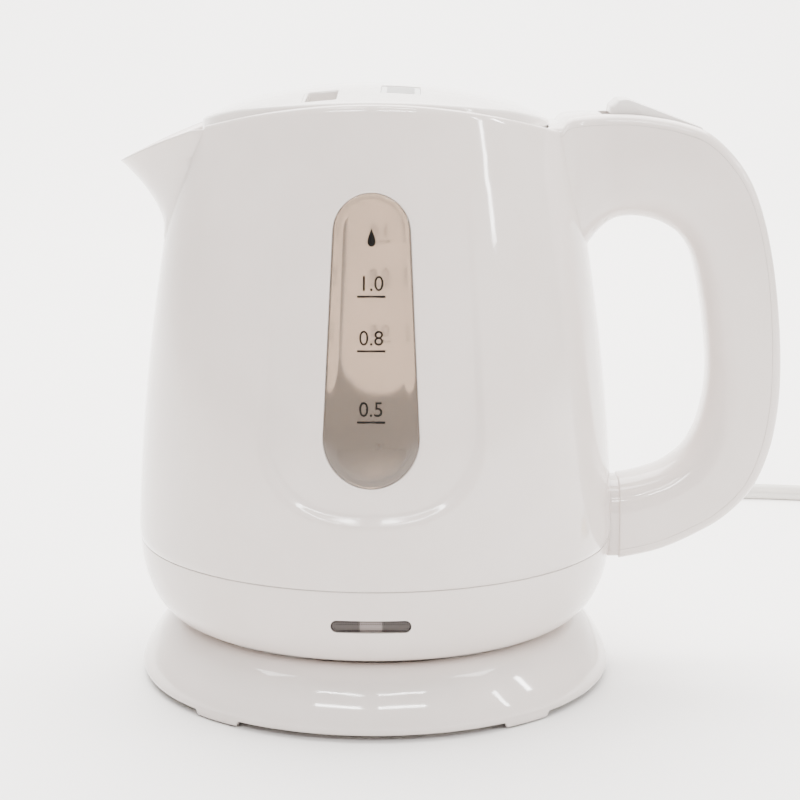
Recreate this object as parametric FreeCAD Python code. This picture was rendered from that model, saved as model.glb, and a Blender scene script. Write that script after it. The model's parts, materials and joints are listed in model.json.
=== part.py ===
import FreeCAD, Part
import math
import os

# Electric kettle on its power base. Millimetres.
# Origin: centre of the base's underside, on the kettle's vertical axis.
# +X points to the handle, -X to the spout, +Z up.

V = FreeCAD.Vector
UP = V(0, 0, 1)
ORIGIN = V(0, 0, 0)

# ---------------------------------------------------------------- fits
GAP = 0.3            # between bodies that move past each other
SLIP = 0.1           # between separate pieces of one body
RUN = 0.05           # radial running clearance of pins and rings

# ---------------------------------------------------------------- power base
BASE_R = 76.2        # widest radius of the skirt
BASE_TOP_Z = 20.5    # top of the rolled rim
BASE_RIM_R = BASE_R - 15.2   # inner edge of the rolled rim
BASE_WALL = 2.4
DECK_Z = BASE_TOP_Z - 0.8    # deck inside the rim
SKIRT_Z = 2.1        # lower edge of the skirt between its lugs
LUG_Z = 0.5          # lower edge of the lugs
LUG_DEG = 12.0       # how far round each lug goes
LUG_AT = (51.0, 129.0, 231.0, 309.0)
PLATE_T = 2.0        # bottom plate thickness
FOOT_W = 7.0         # width of the non-slip ring under the plate
FOOT_RING = BASE_R - 12.2    # its middle radius
FOOT_STUD_R = 1.6
WELL_R = 46.0        # shallow well in the deck
WELL_Z = DECK_Z - 4.5
BASE_SCREW_RING = BASE_R - 24.2
BASE_SCREW_AT = (30.0, 150.0, 210.0, 330.0)
BASE_SCREW_R = 1.5
BASE_BOSS_R = 3.4

# ---------------------------------------------------------------- socket
TOWER_R = 12.0
TOWER_TOP_Z = 33.0
SOCKET_FLANGE_W = 6.6
SOCKET_FLANGE_R = TOWER_R + SOCKET_FLANGE_W
SLIP_RING_T = 2.4
SLIP_RING_W = 3.6
LIVE_R = (8.4, 9.4)          # outer contact ring
EARTH_R = (3.0, 4.0)         # inner contact sleeve
PIN_R = 1.2                  # centre contact pin
CONNECTOR_WALL = 3.0
CONNECTOR_TOP_Z = 40.0
CONNECTOR_R = TOWER_R + SLIP_RING_W + CONNECTOR_WALL

# ---------------------------------------------------------------- kettle body
BODY_R = 76.6        # widest radius
BODY_R_Z = 51.0      # height of the widest place
SEAM_R = BODY_R - 0.4
SEAM_Z = 46.3
HOUSING_Z = 21.3     # underside of the lower housing
HOUSING_CORNER = 14.0
RIM_Z = 186.4        # height of the rim's crown
RIM_ARCH_R = 170.0   # the rim follows an arch across the kettle
ARCH_CENTRE_Z = RIM_Z - RIM_ARCH_R
TOP_Z = RIM_Z + 8.0  # above everything on the body
WALL = 2.4
COLLAR_R = 54.8      # bore of the collar that holds the lid
COLLAR_Z = RIM_Z - 16.4      # underside of the collar
RIM_R = COLLAR_R + 3.2       # outer radius at the rim's crown
SPIGOT_H = 4.0
SPIGOT_T = 1.8

# ---------------------------------------------------------------- heater mounting
FLANGE_R = SEAM_R - WALL - 15.8      # hole of the flange that carries the heating plate
FLANGE_Z = 58.0
FLANGE_T = 3.0
SEAL_T = 1.6
STEEL_T = 1.2                        # heating plate
PLATE_R = FLANGE_R + 7.0
PLATE_RISE = 2.2                     # dish of the plate above the flange's underside
DISH_R = FLANGE_R - 4.0
SPREADER_T = 2.0
CLAMP_TOP_Z = 55.0
CLAMP_T = 2.8
CLAMP_R = SEAM_R - WALL - 1.2
CLAMP_NOTCH = 5.0                    # notch of the ring behind the handle screws
CLAMP_SCREW_RING = SEAM_R - WALL - 4.5
CLAMP_SCREW_R = 1.3
CLAMP_SCREWS = 6
ELEMENT_R = 38.0                     # radius of the element's loop
ELEMENT_TUBE_R = 3.3
ELEMENT_SWEEP = 300
THERMOSTAT_R = 22.0
THERMOSTAT_H = 12.0
DISC_R = 6.0
DISC_T = 1.6
DISC_X = 13.0
SPREADER_Z = FLANGE_Z + PLATE_RISE - STEEL_T - SPREADER_T    # underside of the spreader
POST_RING = FLANGE_R + 1.5           # posts that hold the housing
POST_AT = (45, 165, 285)
POST_R = 3.6
HOUSING_SCREW_R = 1.5

# ---------------------------------------------------------------- kettle feet and indicator
NUB_RING = BASE_RIM_R - 5.0
NUB_R = 3.0
LENS_HALF = 11.9
LENS_Z = (33.3, 37.4)
LAMP_BOARD_Y = -SEAM_R + WALL + 6.5
LAMP_POST_X = 7.0
LAMP_POST_R = 1.2

# ---------------------------------------------------------------- water windows
WIN_LOW_Z = SEAM_Z + 30.3
WIN_TOP_Z = RIM_Z - 24.8
WIN_LOW_R = 14.4     # radius of the lower end
WIN_TOP_R = 11.4     # radius of the upper end
WIN_LIP = 2.6
WIN_LIP_T = 1.2
PANEL_HALF = 33.0    # half width of the U panel round each window
PANEL_LOW_Z = SEAM_Z + 18.7
PANEL_FADE_Z = RIM_Z - 18.4
PANEL_DEPTH = 1.4

# ---------------------------------------------------------------- spout
SPOUT_REACH = 44.0   # how far the beak would stand out at the rim crown's height
SPOUT_CURL = 1.8     # how late the beak turns outwards
SPOUT_LOW_Z = RIM_Z - 43.4
SPOUT_LOW_HALF = 12.0
SPOUT_TOP_HALF = 35.0
SPOUT_WALL = 2.4
SPOUT_SHARES = (0.0, 0.22, 0.42, 0.62, 0.82, 1.0)

# ---------------------------------------------------------------- handle
HANDLE_W = 27.0
HANDLE_WALL = 2.4
COVER_T = 3.2
HANDLE_ROUND = 0.8   # corner radius as a share of the half thickness
HANDLE_SCREW_Z = SEAM_Z + 7.5
HANDLE_SCREW_Y = (-6.4, 6.4)
HANDLE_SCREW_R = 1.5
WIRE_HOLE_Z = SEAM_Z + 7.1
WIRE_Y = (-2.6, 2.6)
WIRE_R = 1.1

# ---------------------------------------------------------------- steam switch
STEAM_Z = RIM_Z - 25.4
STEAM_END_X = BODY_R - 2.6
STEAM_TUBE_R = (2.8, 4.0)
SWITCH_LEN = 17.0
SWITCH_HALF = 7.4

# ---------------------------------------------------------------- power lever
LEVER_W = 17.0
LEVER_PIN_R = 1.5
LEVER_PIN_X = BODY_R + 20.4
LEVER_PIN_Z = RIM_Z - 13.8
LEVER_LEN = 24.4     # from the pin to the pressed end
LEVER_ROOM = 2.2     # free space in front of the pressed end

# ---------------------------------------------------------------- lid
LID_R = COLLAR_R - 0.4
LID_CROWN_Z = RIM_Z + 3.5
LID_SIDE_R = 500.0   # doming across the kettle
LID_SKIN = 2.2
LID_SKIRT_Z = RIM_Z - 14.6
LID_FLOOR_T = 2.0
LID_BOSS_RING = LID_R - 12.4
LID_BOSS_AT = (60, 180, 300)
LID_BOSS_R = 3.4
LID_SCREW_R = 1.3
WELL_X = (-21.0, -10.0)      # finger wells
WELL_Y = (COLLAR_R - 33.8, COLLAR_R - 6.8)
WELL_WALL = 1.6
WELL_FLOOR_Z = RIM_Z - 6.0
SQUEEZE = 4.0        # travel of each latch
TONGUE_Z = (RIM_Z - 10.1, RIM_Z - 7.8)
TONGUE_REACH = COLLAR_R + 1.8
THUMB_T = 1.8        # wall of the latch that the finger presses
SPRING_R = 2.0
SPRING_WIRE_R = 0.25
SPRING_TURNS = 6
SPRING_POST = 3.0    # half width of the post between the springs
GRILLE_X = (2.0, 14.0)
GRILLE_Y = (-34.0, -10.0)
GRILLE_SLOTS = 7
GRILLE_FRAME = 1.8
STEAM_INLETS = ((34.0, -9.0), (38.0, 0.0), (34.0, 9.0))
SEAL_GROOVE_Z = (LID_SKIRT_Z - 1.5, LID_SKIRT_Z - 0.5)
SEAL_IN = 1.2        # how deep the seal sits in the lid's groove

# ---------------------------------------------------------------- cord
CORD_D = 6.6
CORD_LIE_Z = CORD_D / 2
CLAMP_SCREW_X = 8.0
LEAD_R = 1.2
RELIEF_LEN = 30.0
RELIEF_R = 5.2
CORD_EXIT_Z = 7.5
COIL_R = 38.0
COIL_X = 234.4
COIL_Y = 177.0
COIL_W = 12.6
COIL_H = 2 * CORD_D
PLUG_LEN = 27.0
PLUG_W = 22.0
PLUG_T = 13.0
PLUG_PIN_X = 6.35
PIN_LEN = 17.5
PIN_W = 6.3
PIN_T = 1.5

parts = {}


# ================================================================ helpers
def block(x0, x1, y0, y1, z0, z1):
    return Part.makeBox(x1 - x0, y1 - y0, z1 - z0, V(x0, y0, z0))


def rod(r, z0, z1, x=0.0, y=0.0):
    return Part.makeCylinder(r, z1 - z0, V(x, y, z0))


def tube(r_in, r_out, z0, z1, x=0.0, y=0.0):
    return rod(r_out, z0, z1, x, y).cut(rod(r_in, z0, z1, x, y))


def polar(r, deg):
    return r * math.cos(math.radians(deg)), r * math.sin(math.radians(deg))


def turned(shape, deg):
    copy = shape.copy()
    copy.rotate(ORIGIN, UP, deg)
    return copy


def joined(shapes):
    whole = shapes[0]
    for shape in shapes[1:]:
        whole = whole.fuse(shape)
    return whole.removeSplitter()


def line(a, b):
    return Part.makeLine(a, b)


def smooth(points):
    curve = Part.BSplineCurve()
    curve.interpolate(points)
    return curve.toShape()


def rz(pairs):
    return [V(r, 0, z) for r, z in pairs]


def spun(edges):
    """Solid of revolution of a closed outline in the XZ plane."""
    face = Part.Face(Part.Wire(edges))
    return face.revolve(ORIGIN, UP, 360)


def spun_lines(pairs):
    points = rz(pairs)
    closed = points + [points[0]]
    return spun([line(a, b) for a, b in zip(closed, closed[1:])])


def across(edges_wire, y0, y1):
    """Extrude a closed XZ outline along Y from y0 to y1."""
    wire = edges_wire.copy()
    wire.translate(V(0, y0, 0))
    return Part.Face(wire).extrude(V(0, y1 - y0, 0))


def one_solid(shape):
    """The largest solid of a result that should be a single piece."""
    return max(shape.Solids, key=lambda s: s.Volume)


def screw(x, y, head_z, tip_z, r, head_h=1.6):
    """Pan head screw whose head's flat underside is at head_z."""
    out = 1 if head_z > tip_z else -1
    low, high = sorted((head_z, tip_z))
    shank = rod(r, low, high, x, y)
    head_low, head_high = sorted((head_z, head_z + out * head_h))
    head = rod(2 * r, head_low, head_high, x, y)
    return shank.fuse(head).removeSplitter()


def rounded_route(points):
    """Straight runs joined by the largest tangent arcs they allow; returns the wire and the radii."""
    edges = []
    radii = []
    start = points[0]
    for before, here, after in zip(points, points[1:], points[2:]):
        back = before - here
        ahead = after - here
        run = min(back.Length, ahead.Length)
        turn = math.pi - back.getAngle(ahead)
        cut = 0.45 * run
        radii.append(cut / math.tan(turn / 2))
        first = here + back.normalize() * cut
        last = here + ahead.normalize() * cut
        inward = ((first + last) * 0.5 - here).normalize()
        middle = here + inward * (radii[-1] / math.cos(turn / 2) - radii[-1])
        edges.append(line(start, first))
        edges.append(Part.Arc(first, middle, last).toShape())
        start = last
    edges.append(line(start, points[-1]))
    return Part.Wire(edges), radii


def swept_round(points, r):
    wire = rounded_route(points)[0]
    tangent = points[1] - points[0]
    ring = Part.Wire([Part.makeCircle(r, points[0], tangent)])
    return wire.makePipeShell([ring], True, False)


# ================================================================ kettle profile
def body_radius(z):
    """Outer radius of the body above the seam: widest low down, drawn in towards the rim."""
    if z < BODY_R_Z:
        t = (BODY_R_Z - z) / (BODY_R_Z - SEAM_Z)
        return BODY_R - (BODY_R - SEAM_R) * t * t
    s = (z - BODY_R_Z) / (RIM_Z - BODY_R_Z)
    return BODY_R - (BODY_R - RIM_R) * (0.3 * s + 0.7 * s * s)


def body_fill(inset, z0, z1, inset_at=None):
    """Solid inside the body's outer surface moved in by inset, between two heights."""
    count = 9
    heights = [z0 + (z1 - z0) * i / (count - 1) for i in range(count)]
    depth = inset_at or (lambda z: inset)
    side = [V(body_radius(z) - depth(z), 0, z) for z in heights]
    low = V(0, 0, z0)
    high = V(0, 0, z1)
    return spun([line(low, side[0]), smooth(side), line(side[-1], high), line(high, low)])


def housing_fill(inset):
    """Solid of the lower housing: flat floor, elliptical corner, open at the seam."""
    floor_z = HOUSING_Z + inset
    corner_r = SEAM_R - HOUSING_CORNER
    a = HOUSING_CORNER - inset
    b = SEAM_Z - floor_z
    count = 7
    side = []
    for i in range(count):
        t = math.pi / 2 * i / (count - 1)
        side.append(V(corner_r + a * math.sin(t), 0, SEAM_Z - b * math.cos(t)))
    low = V(0, 0, floor_z)
    high = V(0, 0, SEAM_Z)
    return spun([line(low, side[0]), smooth(side), line(side[-1], high), line(high, low)])


def above_arch(centre_z, r):
    """Everything above an arch that runs across the kettle along Y."""
    reach = 2 * BODY_R
    slab = block(-reach, reach, -reach, reach, LID_SKIRT_Z - 30, TOP_Z + 20)
    bar = Part.makeCylinder(r, 2 * reach, V(0, -reach, centre_z), V(0, 1, 0))
    return slab.cut(bar)


# ================================================================ windows and panel
def oval(grow):
    """Window outline in the XZ plane: a tall oval, a little narrower at the top."""
    low_r = WIN_LOW_R + grow
    top_r = WIN_TOP_R + grow
    low_c = WIN_LOW_Z + WIN_LOW_R
    top_c = WIN_TOP_Z - WIN_TOP_R
    lean = math.asin((low_r - top_r) / (top_c - low_c))
    lx = low_r * math.cos(lean)
    lz = low_c + low_r * math.sin(lean)
    tx = top_r * math.cos(lean)
    tz = top_c + top_r * math.sin(lean)
    return Part.Wire([
        Part.Arc(V(-lx, 0, lz), V(0, 0, low_c - low_r), V(lx, 0, lz)).toShape(),
        line(V(lx, 0, lz), V(tx, 0, tz)),
        Part.Arc(V(tx, 0, tz), V(0, 0, top_c + top_r), V(-tx, 0, tz)).toShape(),
        line(V(-tx, 0, tz), V(-lx, 0, lz)),
    ])


def panel_outline():
    """The U panel: straight sides and a flattened round bottom."""
    side_z = PANEL_LOW_Z + 0.9 * PANEL_HALF
    half = PANEL_HALF
    round_edge = smooth([
        V(-half, 0, side_z),
        V(-0.82 * half, 0, PANEL_LOW_Z + 0.27 * half),
        V(0, 0, PANEL_LOW_Z),
        V(0.82 * half, 0, PANEL_LOW_Z + 0.27 * half),
        V(half, 0, side_z),
    ])
    top = PANEL_FADE_Z
    return Part.Wire([
        round_edge,
        line(V(half, 0, side_z), V(half, 0, top)),
        line(V(half, 0, top), V(-half, 0, top)),
        line(V(-half, 0, top), V(-half, 0, side_z)),
    ])


def panel_depth(z):
    """Full depth at the bottom, fading to nothing at the top of the panel."""
    full_z = PANEL_LOW_Z + 1.2 * PANEL_HALF
    share = min(1.0, max(0.0, (PANEL_FADE_Z - z) / (PANEL_FADE_Z - full_z)))
    return PANEL_DEPTH * share


def both_sides(front):
    return [front, turned(front, 180)]


# ================================================================ spout
def spout_sections():
    """Height, x of the front, x of the crease and half width at the crease."""
    sections = []
    rise = RIM_Z - SPOUT_LOW_Z
    for share in SPOUT_SHARES:
        z = SPOUT_LOW_Z + rise * share
        r = body_radius(z)
        front = -body_radius(SPOUT_LOW_Z) - SPOUT_REACH * share ** SPOUT_CURL
        half = SPOUT_LOW_HALF + (SPOUT_TOP_HALF - SPOUT_LOW_HALF) * share ** 0.8
        crease = -math.sqrt(r * r - half * half)
        sections.append((z, front, crease, half))
    return sections


def spout_fill(inset, z_shift=0.0):
    wires = []
    for z, front, crease, half in spout_sections():
        tip = front + 1.35 * inset
        w = half - inset
        back = crease + 14.0
        mid_x = tip + 0.42 * (crease - tip)
        mid_y = 0.60 * w
        side = [
            V(crease, w, z + z_shift),
            V(mid_x, mid_y, z + z_shift),
            V(tip, 0, z + z_shift),
            V(mid_x, -mid_y, z + z_shift),
            V(crease, -w, z + z_shift),
        ]
        right = V(back, -w, z + z_shift)
        left = V(back, w, z + z_shift)
        wires.append(Part.Wire([
            smooth(side),
            line(side[-1], right),
            line(right, left),
            line(left, side[0]),
        ]))
    return Part.makeLoft(wires, True, False)


# ================================================================ handle
# Outer and inner points of the handle's side outline, from the upper root round to the lower one:
# how far out from the body's widest radius, and the share of the way up from the seam to the rim.
HANDLE_OUTLINE = (
    ((-6.6, 0.962), (-6.6, 0.705)),
    ((4.4, 0.961), (2.9, 0.733)),
    ((16.4, 0.949), (11.9, 0.724)),
    ((28.9, 0.917), (18.7, 0.696)),
    ((38.4, 0.840), (23.4, 0.647)),
    ((44.4, 0.733), (26.4, 0.576)),
    ((49.0, 0.580), (28.6, 0.473)),
    ((51.6, 0.383), (29.6, 0.369)),
    ((50.2, 0.233), (28.4, 0.287)),
    ((43.8, 0.111), (24.4, 0.216)),
    ((30.9, 0.021), (16.6, 0.161)),
    ((15.4, -0.029), (7.4, 0.136)),
    ((1.4, -0.051), (-0.1, 0.130)),
)
HANDLE_ROOTS = ((0.956, 0.683), (-0.059, 0.128))     # shares at the upper and lower root
HANDLE_ROOT_DEPTH = 7.0                              # how deep the roots start inside the body
HANDLE_SPAN = 140.1                                  # seam to rim height that both arms keep their size for
HANDLE_STRETCH = (0.25, 0.65)                        # shares between which the grip takes up other heights


def handle_pairs():
    """Points (x, z) of the handle's outer and inner outline."""
    def height(share):
        low, high = HANDLE_STRETCH
        spare = RIM_Z - SEAM_Z - HANDLE_SPAN
        return SEAM_Z + share * HANDLE_SPAN + spare * min(1.0, max(0.0, (share - low) / (high - low)))

    def point(out_share):
        return BODY_R + out_share[0], height(out_share[1])

    roots = []
    for shares in HANDLE_ROOTS:
        x = body_radius(max(height(shares[0]), SEAM_Z)) - HANDLE_ROOT_DEPTH
        roots.append(tuple((x, height(share)) for share in shares))
    middle = [(point(outer), point(inner)) for outer, inner in HANDLE_OUTLINE]
    return [roots[0]] + middle + [roots[1]]


def handle_section(outer, inner, half_w, out_inset, in_inset):
    """Rounded rectangle across the handle between two outline points."""
    a = V(outer[0], 0, outer[1])
    b = V(inner[0], 0, inner[1])
    u = (a - b).normalize()
    a = a - u * out_inset
    b = b + u * in_inset
    centre = (a + b) * 0.5
    t = (a - b).Length / 2
    r = min(HANDLE_ROUND * half_w, 0.92 * t, 0.92 * half_w)
    side = V(0, 1, 0)
    k = r * (1 - math.sqrt(0.5))
    corners = []
    for su, sv in ((1, 1), (-1, 1), (-1, -1), (1, -1)):
        edge_u = centre + u * (su * t) + side * (sv * (half_w - r))
        edge_v = centre + u * (su * (t - r)) + side * (sv * half_w)
        bulge = centre + u * (su * (t - k)) + side * (sv * (half_w - k))
        corners.append((edge_u, bulge, edge_v) if su * sv > 0 else (edge_v, bulge, edge_u))
    edges = []
    for i, (start, bulge, end) in enumerate(corners):
        edges.append(Part.Arc(start, bulge, end).toShape())
        edges.append(line(end, corners[(i + 1) % 4][0]))
    return Part.Wire(edges)


def handle_fill(side_inset, out_inset, in_inset):
    half = HANDLE_W / 2 - side_inset
    wires = [handle_section(o, i, half, out_inset, in_inset) for o, i in handle_pairs()]
    return Part.makeLoft(wires, True, False)


def handle_outer_zone(inset):
    """Strip inside the handle's outer outline, for the cover."""
    between = handle_pairs()[1:-1]
    out = [V(o[0], 0, o[1]) for o, i in between]
    units = [(V(o[0], 0, o[1]) - V(i[0], 0, i[1])).normalize() for o, i in between]
    far = [p + u * 8.0 for p, u in zip(out, units)]
    near = [p - u * inset for p, u in zip(out, units)]
    wire = Part.Wire([
        smooth(far),
        line(far[-1], near[-1]),
        smooth(list(reversed(near))),
        line(near[0], far[0]),
    ])
    return across(wire, -HANDLE_W, HANDLE_W)


def handle_middle(share):
    """Points along the middle of the handle; share 0 is the inner outline, 1 the outer."""
    pairs = handle_pairs()
    return [V(i[0] + (o[0] - i[0]) * share, 0, i[1] + (o[1] - i[1]) * share) for o, i in pairs]


# ================================================================ base
def base_profile(inset):
    """Points of the rolled skirt from its lower edge up to the rim."""
    h = BASE_TOP_Z - inset
    return rz([
        (BASE_R - inset, 0.21 * h),
        (BASE_R - 1.2 - inset, 0.40 * h),
        (BASE_R - 3.6 - inset, 0.61 * h),
        (BASE_R - 6.4 - inset, 0.80 * h),
        (BASE_R - 10.2 - inset, 0.95 * h),
        (BASE_R - 13.8 - inset, h),
    ])


def make_base():
    curve = base_profile(0)
    low = V(BASE_R - 0.5, 0, LUG_Z)
    rim_in = V(BASE_RIM_R, 0, DECK_Z)
    axis_top = V(0, 0, DECK_Z)
    axis_low = V(0, 0, LUG_Z)
    outer = spun([
        line(axis_low, low),
        line(low, curve[0]),
        smooth(curve),
        line(curve[-1], rim_in),
        line(rim_in, axis_top),
        line(axis_top, axis_low),
    ])
    inner_curve = base_profile(BASE_WALL)
    inner_low = V(BASE_R - BASE_WALL - 0.5, 0, LUG_Z)
    roof_z = DECK_Z - BASE_WALL
    roof = V(BASE_RIM_R - BASE_WALL, 0, roof_z)
    inner_curve = inner_curve[:-1] + [V(BASE_R - 14.4 - BASE_WALL, 0, roof_z)]
    inner = spun([
        line(axis_low, inner_low),
        line(inner_low, inner_curve[0]),
        smooth(inner_curve),
        line(inner_curve[-1], roof),
        line(roof, V(0, 0, roof_z)),
        line(V(0, 0, roof_z), axis_low),
    ])
    cover = outer.cut(inner)
    cover = cover.fuse(tube(WELL_R - BASE_WALL, WELL_R, WELL_Z - BASE_WALL, DECK_Z - BASE_WALL / 2))
    cover = cover.fuse(rod(WELL_R, WELL_Z - BASE_WALL, WELL_Z))
    cover = cover.cut(rod(WELL_R - BASE_WALL, WELL_Z, BASE_TOP_Z))
    cover = cover.cut(rod(TOWER_R + SLIP, 0, BASE_TOP_Z))
    for deg in BASE_SCREW_AT:
        x, y = polar(BASE_SCREW_RING, deg)
        cover = cover.fuse(rod(BASE_BOSS_R, SKIRT_Z + PLATE_T + SLIP, DECK_Z - BASE_WALL / 2, x, y))
        cover = cover.cut(rod(BASE_SCREW_R, 0, DECK_Z - BASE_WALL - 1, x, y))
    # the skirt's edge is relieved between four lugs
    relief = tube(BASE_R - BASE_WALL - 4, BASE_R + 4, LUG_Z - 1, SKIRT_Z)
    for deg in LUG_AT:
        wedge = Part.makeCylinder(BASE_R + 9, SKIRT_Z + 2, V(0, 0, LUG_Z - 2), UP, LUG_DEG)
        relief = relief.cut(turned(wedge, deg - LUG_DEG / 2))
    cover = cover.cut(relief)
    cord_hole = Part.makeCylinder(RELIEF_R, 30, V(0, BASE_R - 20, CORD_EXIT_Z), V(0, 1, 0))
    parts["base_cover"] = one_solid(cover.cut(cord_hole).removeSplitter())

    plate_r = BASE_R - BASE_WALL - 1.2
    plate = rod(plate_r, SKIRT_Z, SKIRT_Z + PLATE_T)
    screws = []
    for deg in BASE_SCREW_AT:
        x, y = polar(BASE_SCREW_RING, deg)
        plate = plate.cut(rod(BASE_SCREW_R, SKIRT_Z - 1, SKIRT_Z + PLATE_T + 1, x, y))
        plate = plate.cut(rod(2 * BASE_SCREW_R + SLIP, SKIRT_Z - 1, SKIRT_Z + 0.8, x, y))
        screws.append(screw(x, y, SKIRT_Z + 0.8, SKIRT_Z + 9.8, BASE_SCREW_R, 0.8))
    foot = tube(FOOT_RING - FOOT_W / 2, FOOT_RING + FOOT_W / 2, 0, SKIRT_Z)
    for deg in LUG_AT:
        x, y = polar(FOOT_RING, deg)
        foot = foot.fuse(rod(FOOT_STUD_R, SKIRT_Z - 0.5, SKIRT_Z + PLATE_T, x, y))
        plate = plate.cut(rod(FOOT_STUD_R, SKIRT_Z - 1, SKIRT_Z + PLATE_T + 1, x, y))
    parts["base_bottom_plate"] = plate
    parts["base_screws"] = Part.makeCompound(screws)
    parts["base_foot_ring"] = foot.removeSplitter()

    make_socket()
    make_cord_entry()


def make_socket():
    """Central 360 degree socket: tower with two contact rings and a centre pin."""
    flange_low = WELL_Z - BASE_WALL - 2.0
    tower = rod(TOWER_R, flange_low, TOWER_TOP_Z)
    flange = rod(SOCKET_FLANGE_R, flange_low, WELL_Z - BASE_WALL)
    body = tower.fuse(flange).removeSplitter()
    outer_groove = tube(LIVE_R[0] - 1.0, LIVE_R[1], WELL_Z + 3, TOWER_TOP_Z)
    inner_bore = rod(EARTH_R[1], WELL_Z + 3, TOWER_TOP_Z)
    body = body.cut(outer_groove).cut(inner_bore)
    ring = tube(*LIVE_R, WELL_Z + 3, TOWER_TOP_Z - 4)
    sleeve = tube(*EARTH_R, WELL_Z + 3, TOWER_TOP_Z - 3)
    pin = rod(PIN_R, WELL_Z + 3, TOWER_TOP_Z - 2)
    parts["base_socket"] = body
    parts["socket_contacts"] = Part.makeCompound([ring, sleeve, pin])
    seat = WELL_Z + GAP
    parts["socket_slip_ring"] = tube(
        TOWER_R + RUN, TOWER_R + SLIP_RING_W, seat, seat + SLIP_RING_T
    )


def make_cord_entry():
    """Strain relief, the cord's inner end in its clamp, and the two leads to the socket."""
    relief_in = BASE_R - 12.0
    relief_out = BASE_R - 2.0 + RELIEF_LEN
    y_axis = V(0, 1, 0)
    at = V(0, relief_in, CORD_EXIT_Z)
    collar = Part.makeCylinder(RELIEF_R, 3.0, at, y_axis)
    neck = Part.makeCylinder(RELIEF_R - 0.8, 2.0, at + V(0, 3.0, 0), y_axis)
    cone = Part.makeCone(RELIEF_R, CORD_D / 2 + 0.6, relief_out - relief_in - 5.0, at + V(0, 5.0, 0), y_axis)
    inner_end = relief_in + 12.0
    clamp_y = relief_in - 9.0
    inner_start = clamp_y - 6.0
    inner = Part.makeCylinder(
        CORD_D / 2, inner_end - inner_start, V(0, inner_start, CORD_EXIT_Z), y_axis
    )
    room = SKIRT_Z + PLATE_T
    relief = joined([cone, neck, collar]).cut(inner)
    relief = relief.cut(block(-9, 9, relief_in - 1, BASE_R - BASE_WALL - 0.6, 0, room))
    parts["strain_relief"] = one_solid(relief)
    parts["cord_inner_end"] = inner

    bar = block(-11, 11, clamp_y - 3, clamp_y + 3, room, CORD_EXIT_Z + 5.0)
    bar = bar.cut(inner).cut(block(-CORD_D / 2, CORD_D / 2, 0, BASE_R, 0, CORD_EXIT_Z))
    screws = []
    for x in (-CLAMP_SCREW_X, CLAMP_SCREW_X):
        bar = bar.cut(rod(LEAD_R, room - 1, room + 12, x, clamp_y))
        screws.append(screw(x, clamp_y, CORD_EXIT_Z + 5.0, room + 0.6, LEAD_R, 1.4))
    parts["cord_clamp"] = bar
    parts["clamp_screws"] = Part.makeCompound(screws)

    lead_z = WELL_Z - BASE_WALL - 1.4
    lead_x = 6.0
    leads = []
    for side in (-1, 1):
        lead = swept_round([
            V(side * 1.6, inner_start - SLIP, CORD_EXIT_Z),
            V(side * 3.0, inner_start - 12, CORD_EXIT_Z + 0.6),
            V(side * lead_x, SOCKET_FLANGE_R + 6.0, lead_z - 0.6),
            V(side * lead_x, math.sqrt(SOCKET_FLANGE_R ** 2 - lead_x ** 2), lead_z),
        ], LEAD_R)
        leads.append(lead)
    parts["base_leads"] = Part.makeCompound(leads)


def report_cord(name, route, solid):
    wire, radii = rounded_route(route)
    ratio = solid.Volume / (wire.Length * math.pi * CORD_D ** 2 / 4)
    print(name, round(wire.Length, 1), "mm, radii", [round(r, 1) for r in radii])
    print(name, "volume over section times length", round(ratio, 4))


def make_cord():
    """Mains lead: a free run behind the kettle, a put-away coil and a two pin plug."""
    start_y = BASE_R - 2.0 + RELIEF_LEN
    z = CORD_LIE_Z
    route = [
        V(0, start_y, CORD_EXIT_Z),
        V(0, start_y + 20, 5.6),
        V(3, 146, z),
        V(13, 170, z),
        V(32, 192, z),
        V(58, 209, z),
        V(89, 221, z),
        V(122, 228, z),
        V(156, 230.5, z),
        V(190, 225.5, z),
        V(217, 218, z),
    ]
    lead = swept_round(route, CORD_D / 2)
    parts["mains_cord"] = lead
    report_cord("cord run", route, lead)

    low = COIL_R - COIL_W / 2
    high = COIL_R + COIL_W / 2
    coil = tube(low, high, 0, COIL_H, COIL_X, COIL_Y)
    parts["mains_cord_coil"] = coil.makeFillet(3.0, coil.Edges)

    tail = [
        V(COIL_X + 40.9, COIL_Y - 15, 9.2),
        V(COIL_X + 42.4, COIL_Y - 31, 8.2),
        V(COIL_X + 43.2, COIL_Y - 47, 7.0),
        V(COIL_X + 43.0, COIL_Y - 63, PLUG_T / 2),
    ]
    end = swept_round(tail, CORD_D / 2)
    parts["mains_cord_tail"] = end
    report_cord("cord tail", tail, end)

    x = tail[-1].x
    y = tail[-1].y
    mid = PLUG_T / 2
    body = block(x - PLUG_W / 2, x + PLUG_W / 2, y - PLUG_LEN, y - 8, 0, PLUG_T)
    body = body.makeFillet(3.0, [e for e in body.Edges if abs(e.tangentAt(e.FirstParameter).y) > 0.9])
    neck = Part.makeCone(4.0, 5.6, 8.0, V(x, y, mid), V(0, -1, 0))
    parts["mains_plug"] = joined([body, neck])
    pins = []
    for side in (-PLUG_PIN_X, PLUG_PIN_X):
        tip = y - PLUG_LEN - PIN_LEN
        half = PIN_W / 2
        pin = block(x + side - PIN_T / 2, x + side + PIN_T / 2, tip, y - PLUG_LEN, mid - half, mid + half)
        pins.append(pin.cut(Part.makeCylinder(1.5, 4, V(x + side - 2, tip + 4.0, mid), V(1, 0, 0))))
    parts["plug_pins"] = Part.makeCompound(pins)


# ================================================================ kettle shells
def steam_hole(r):
    return Part.makeCylinder(r, 26, V(COLLAR_R - 6, 0, STEAM_Z), V(1, 0, 0))


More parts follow.
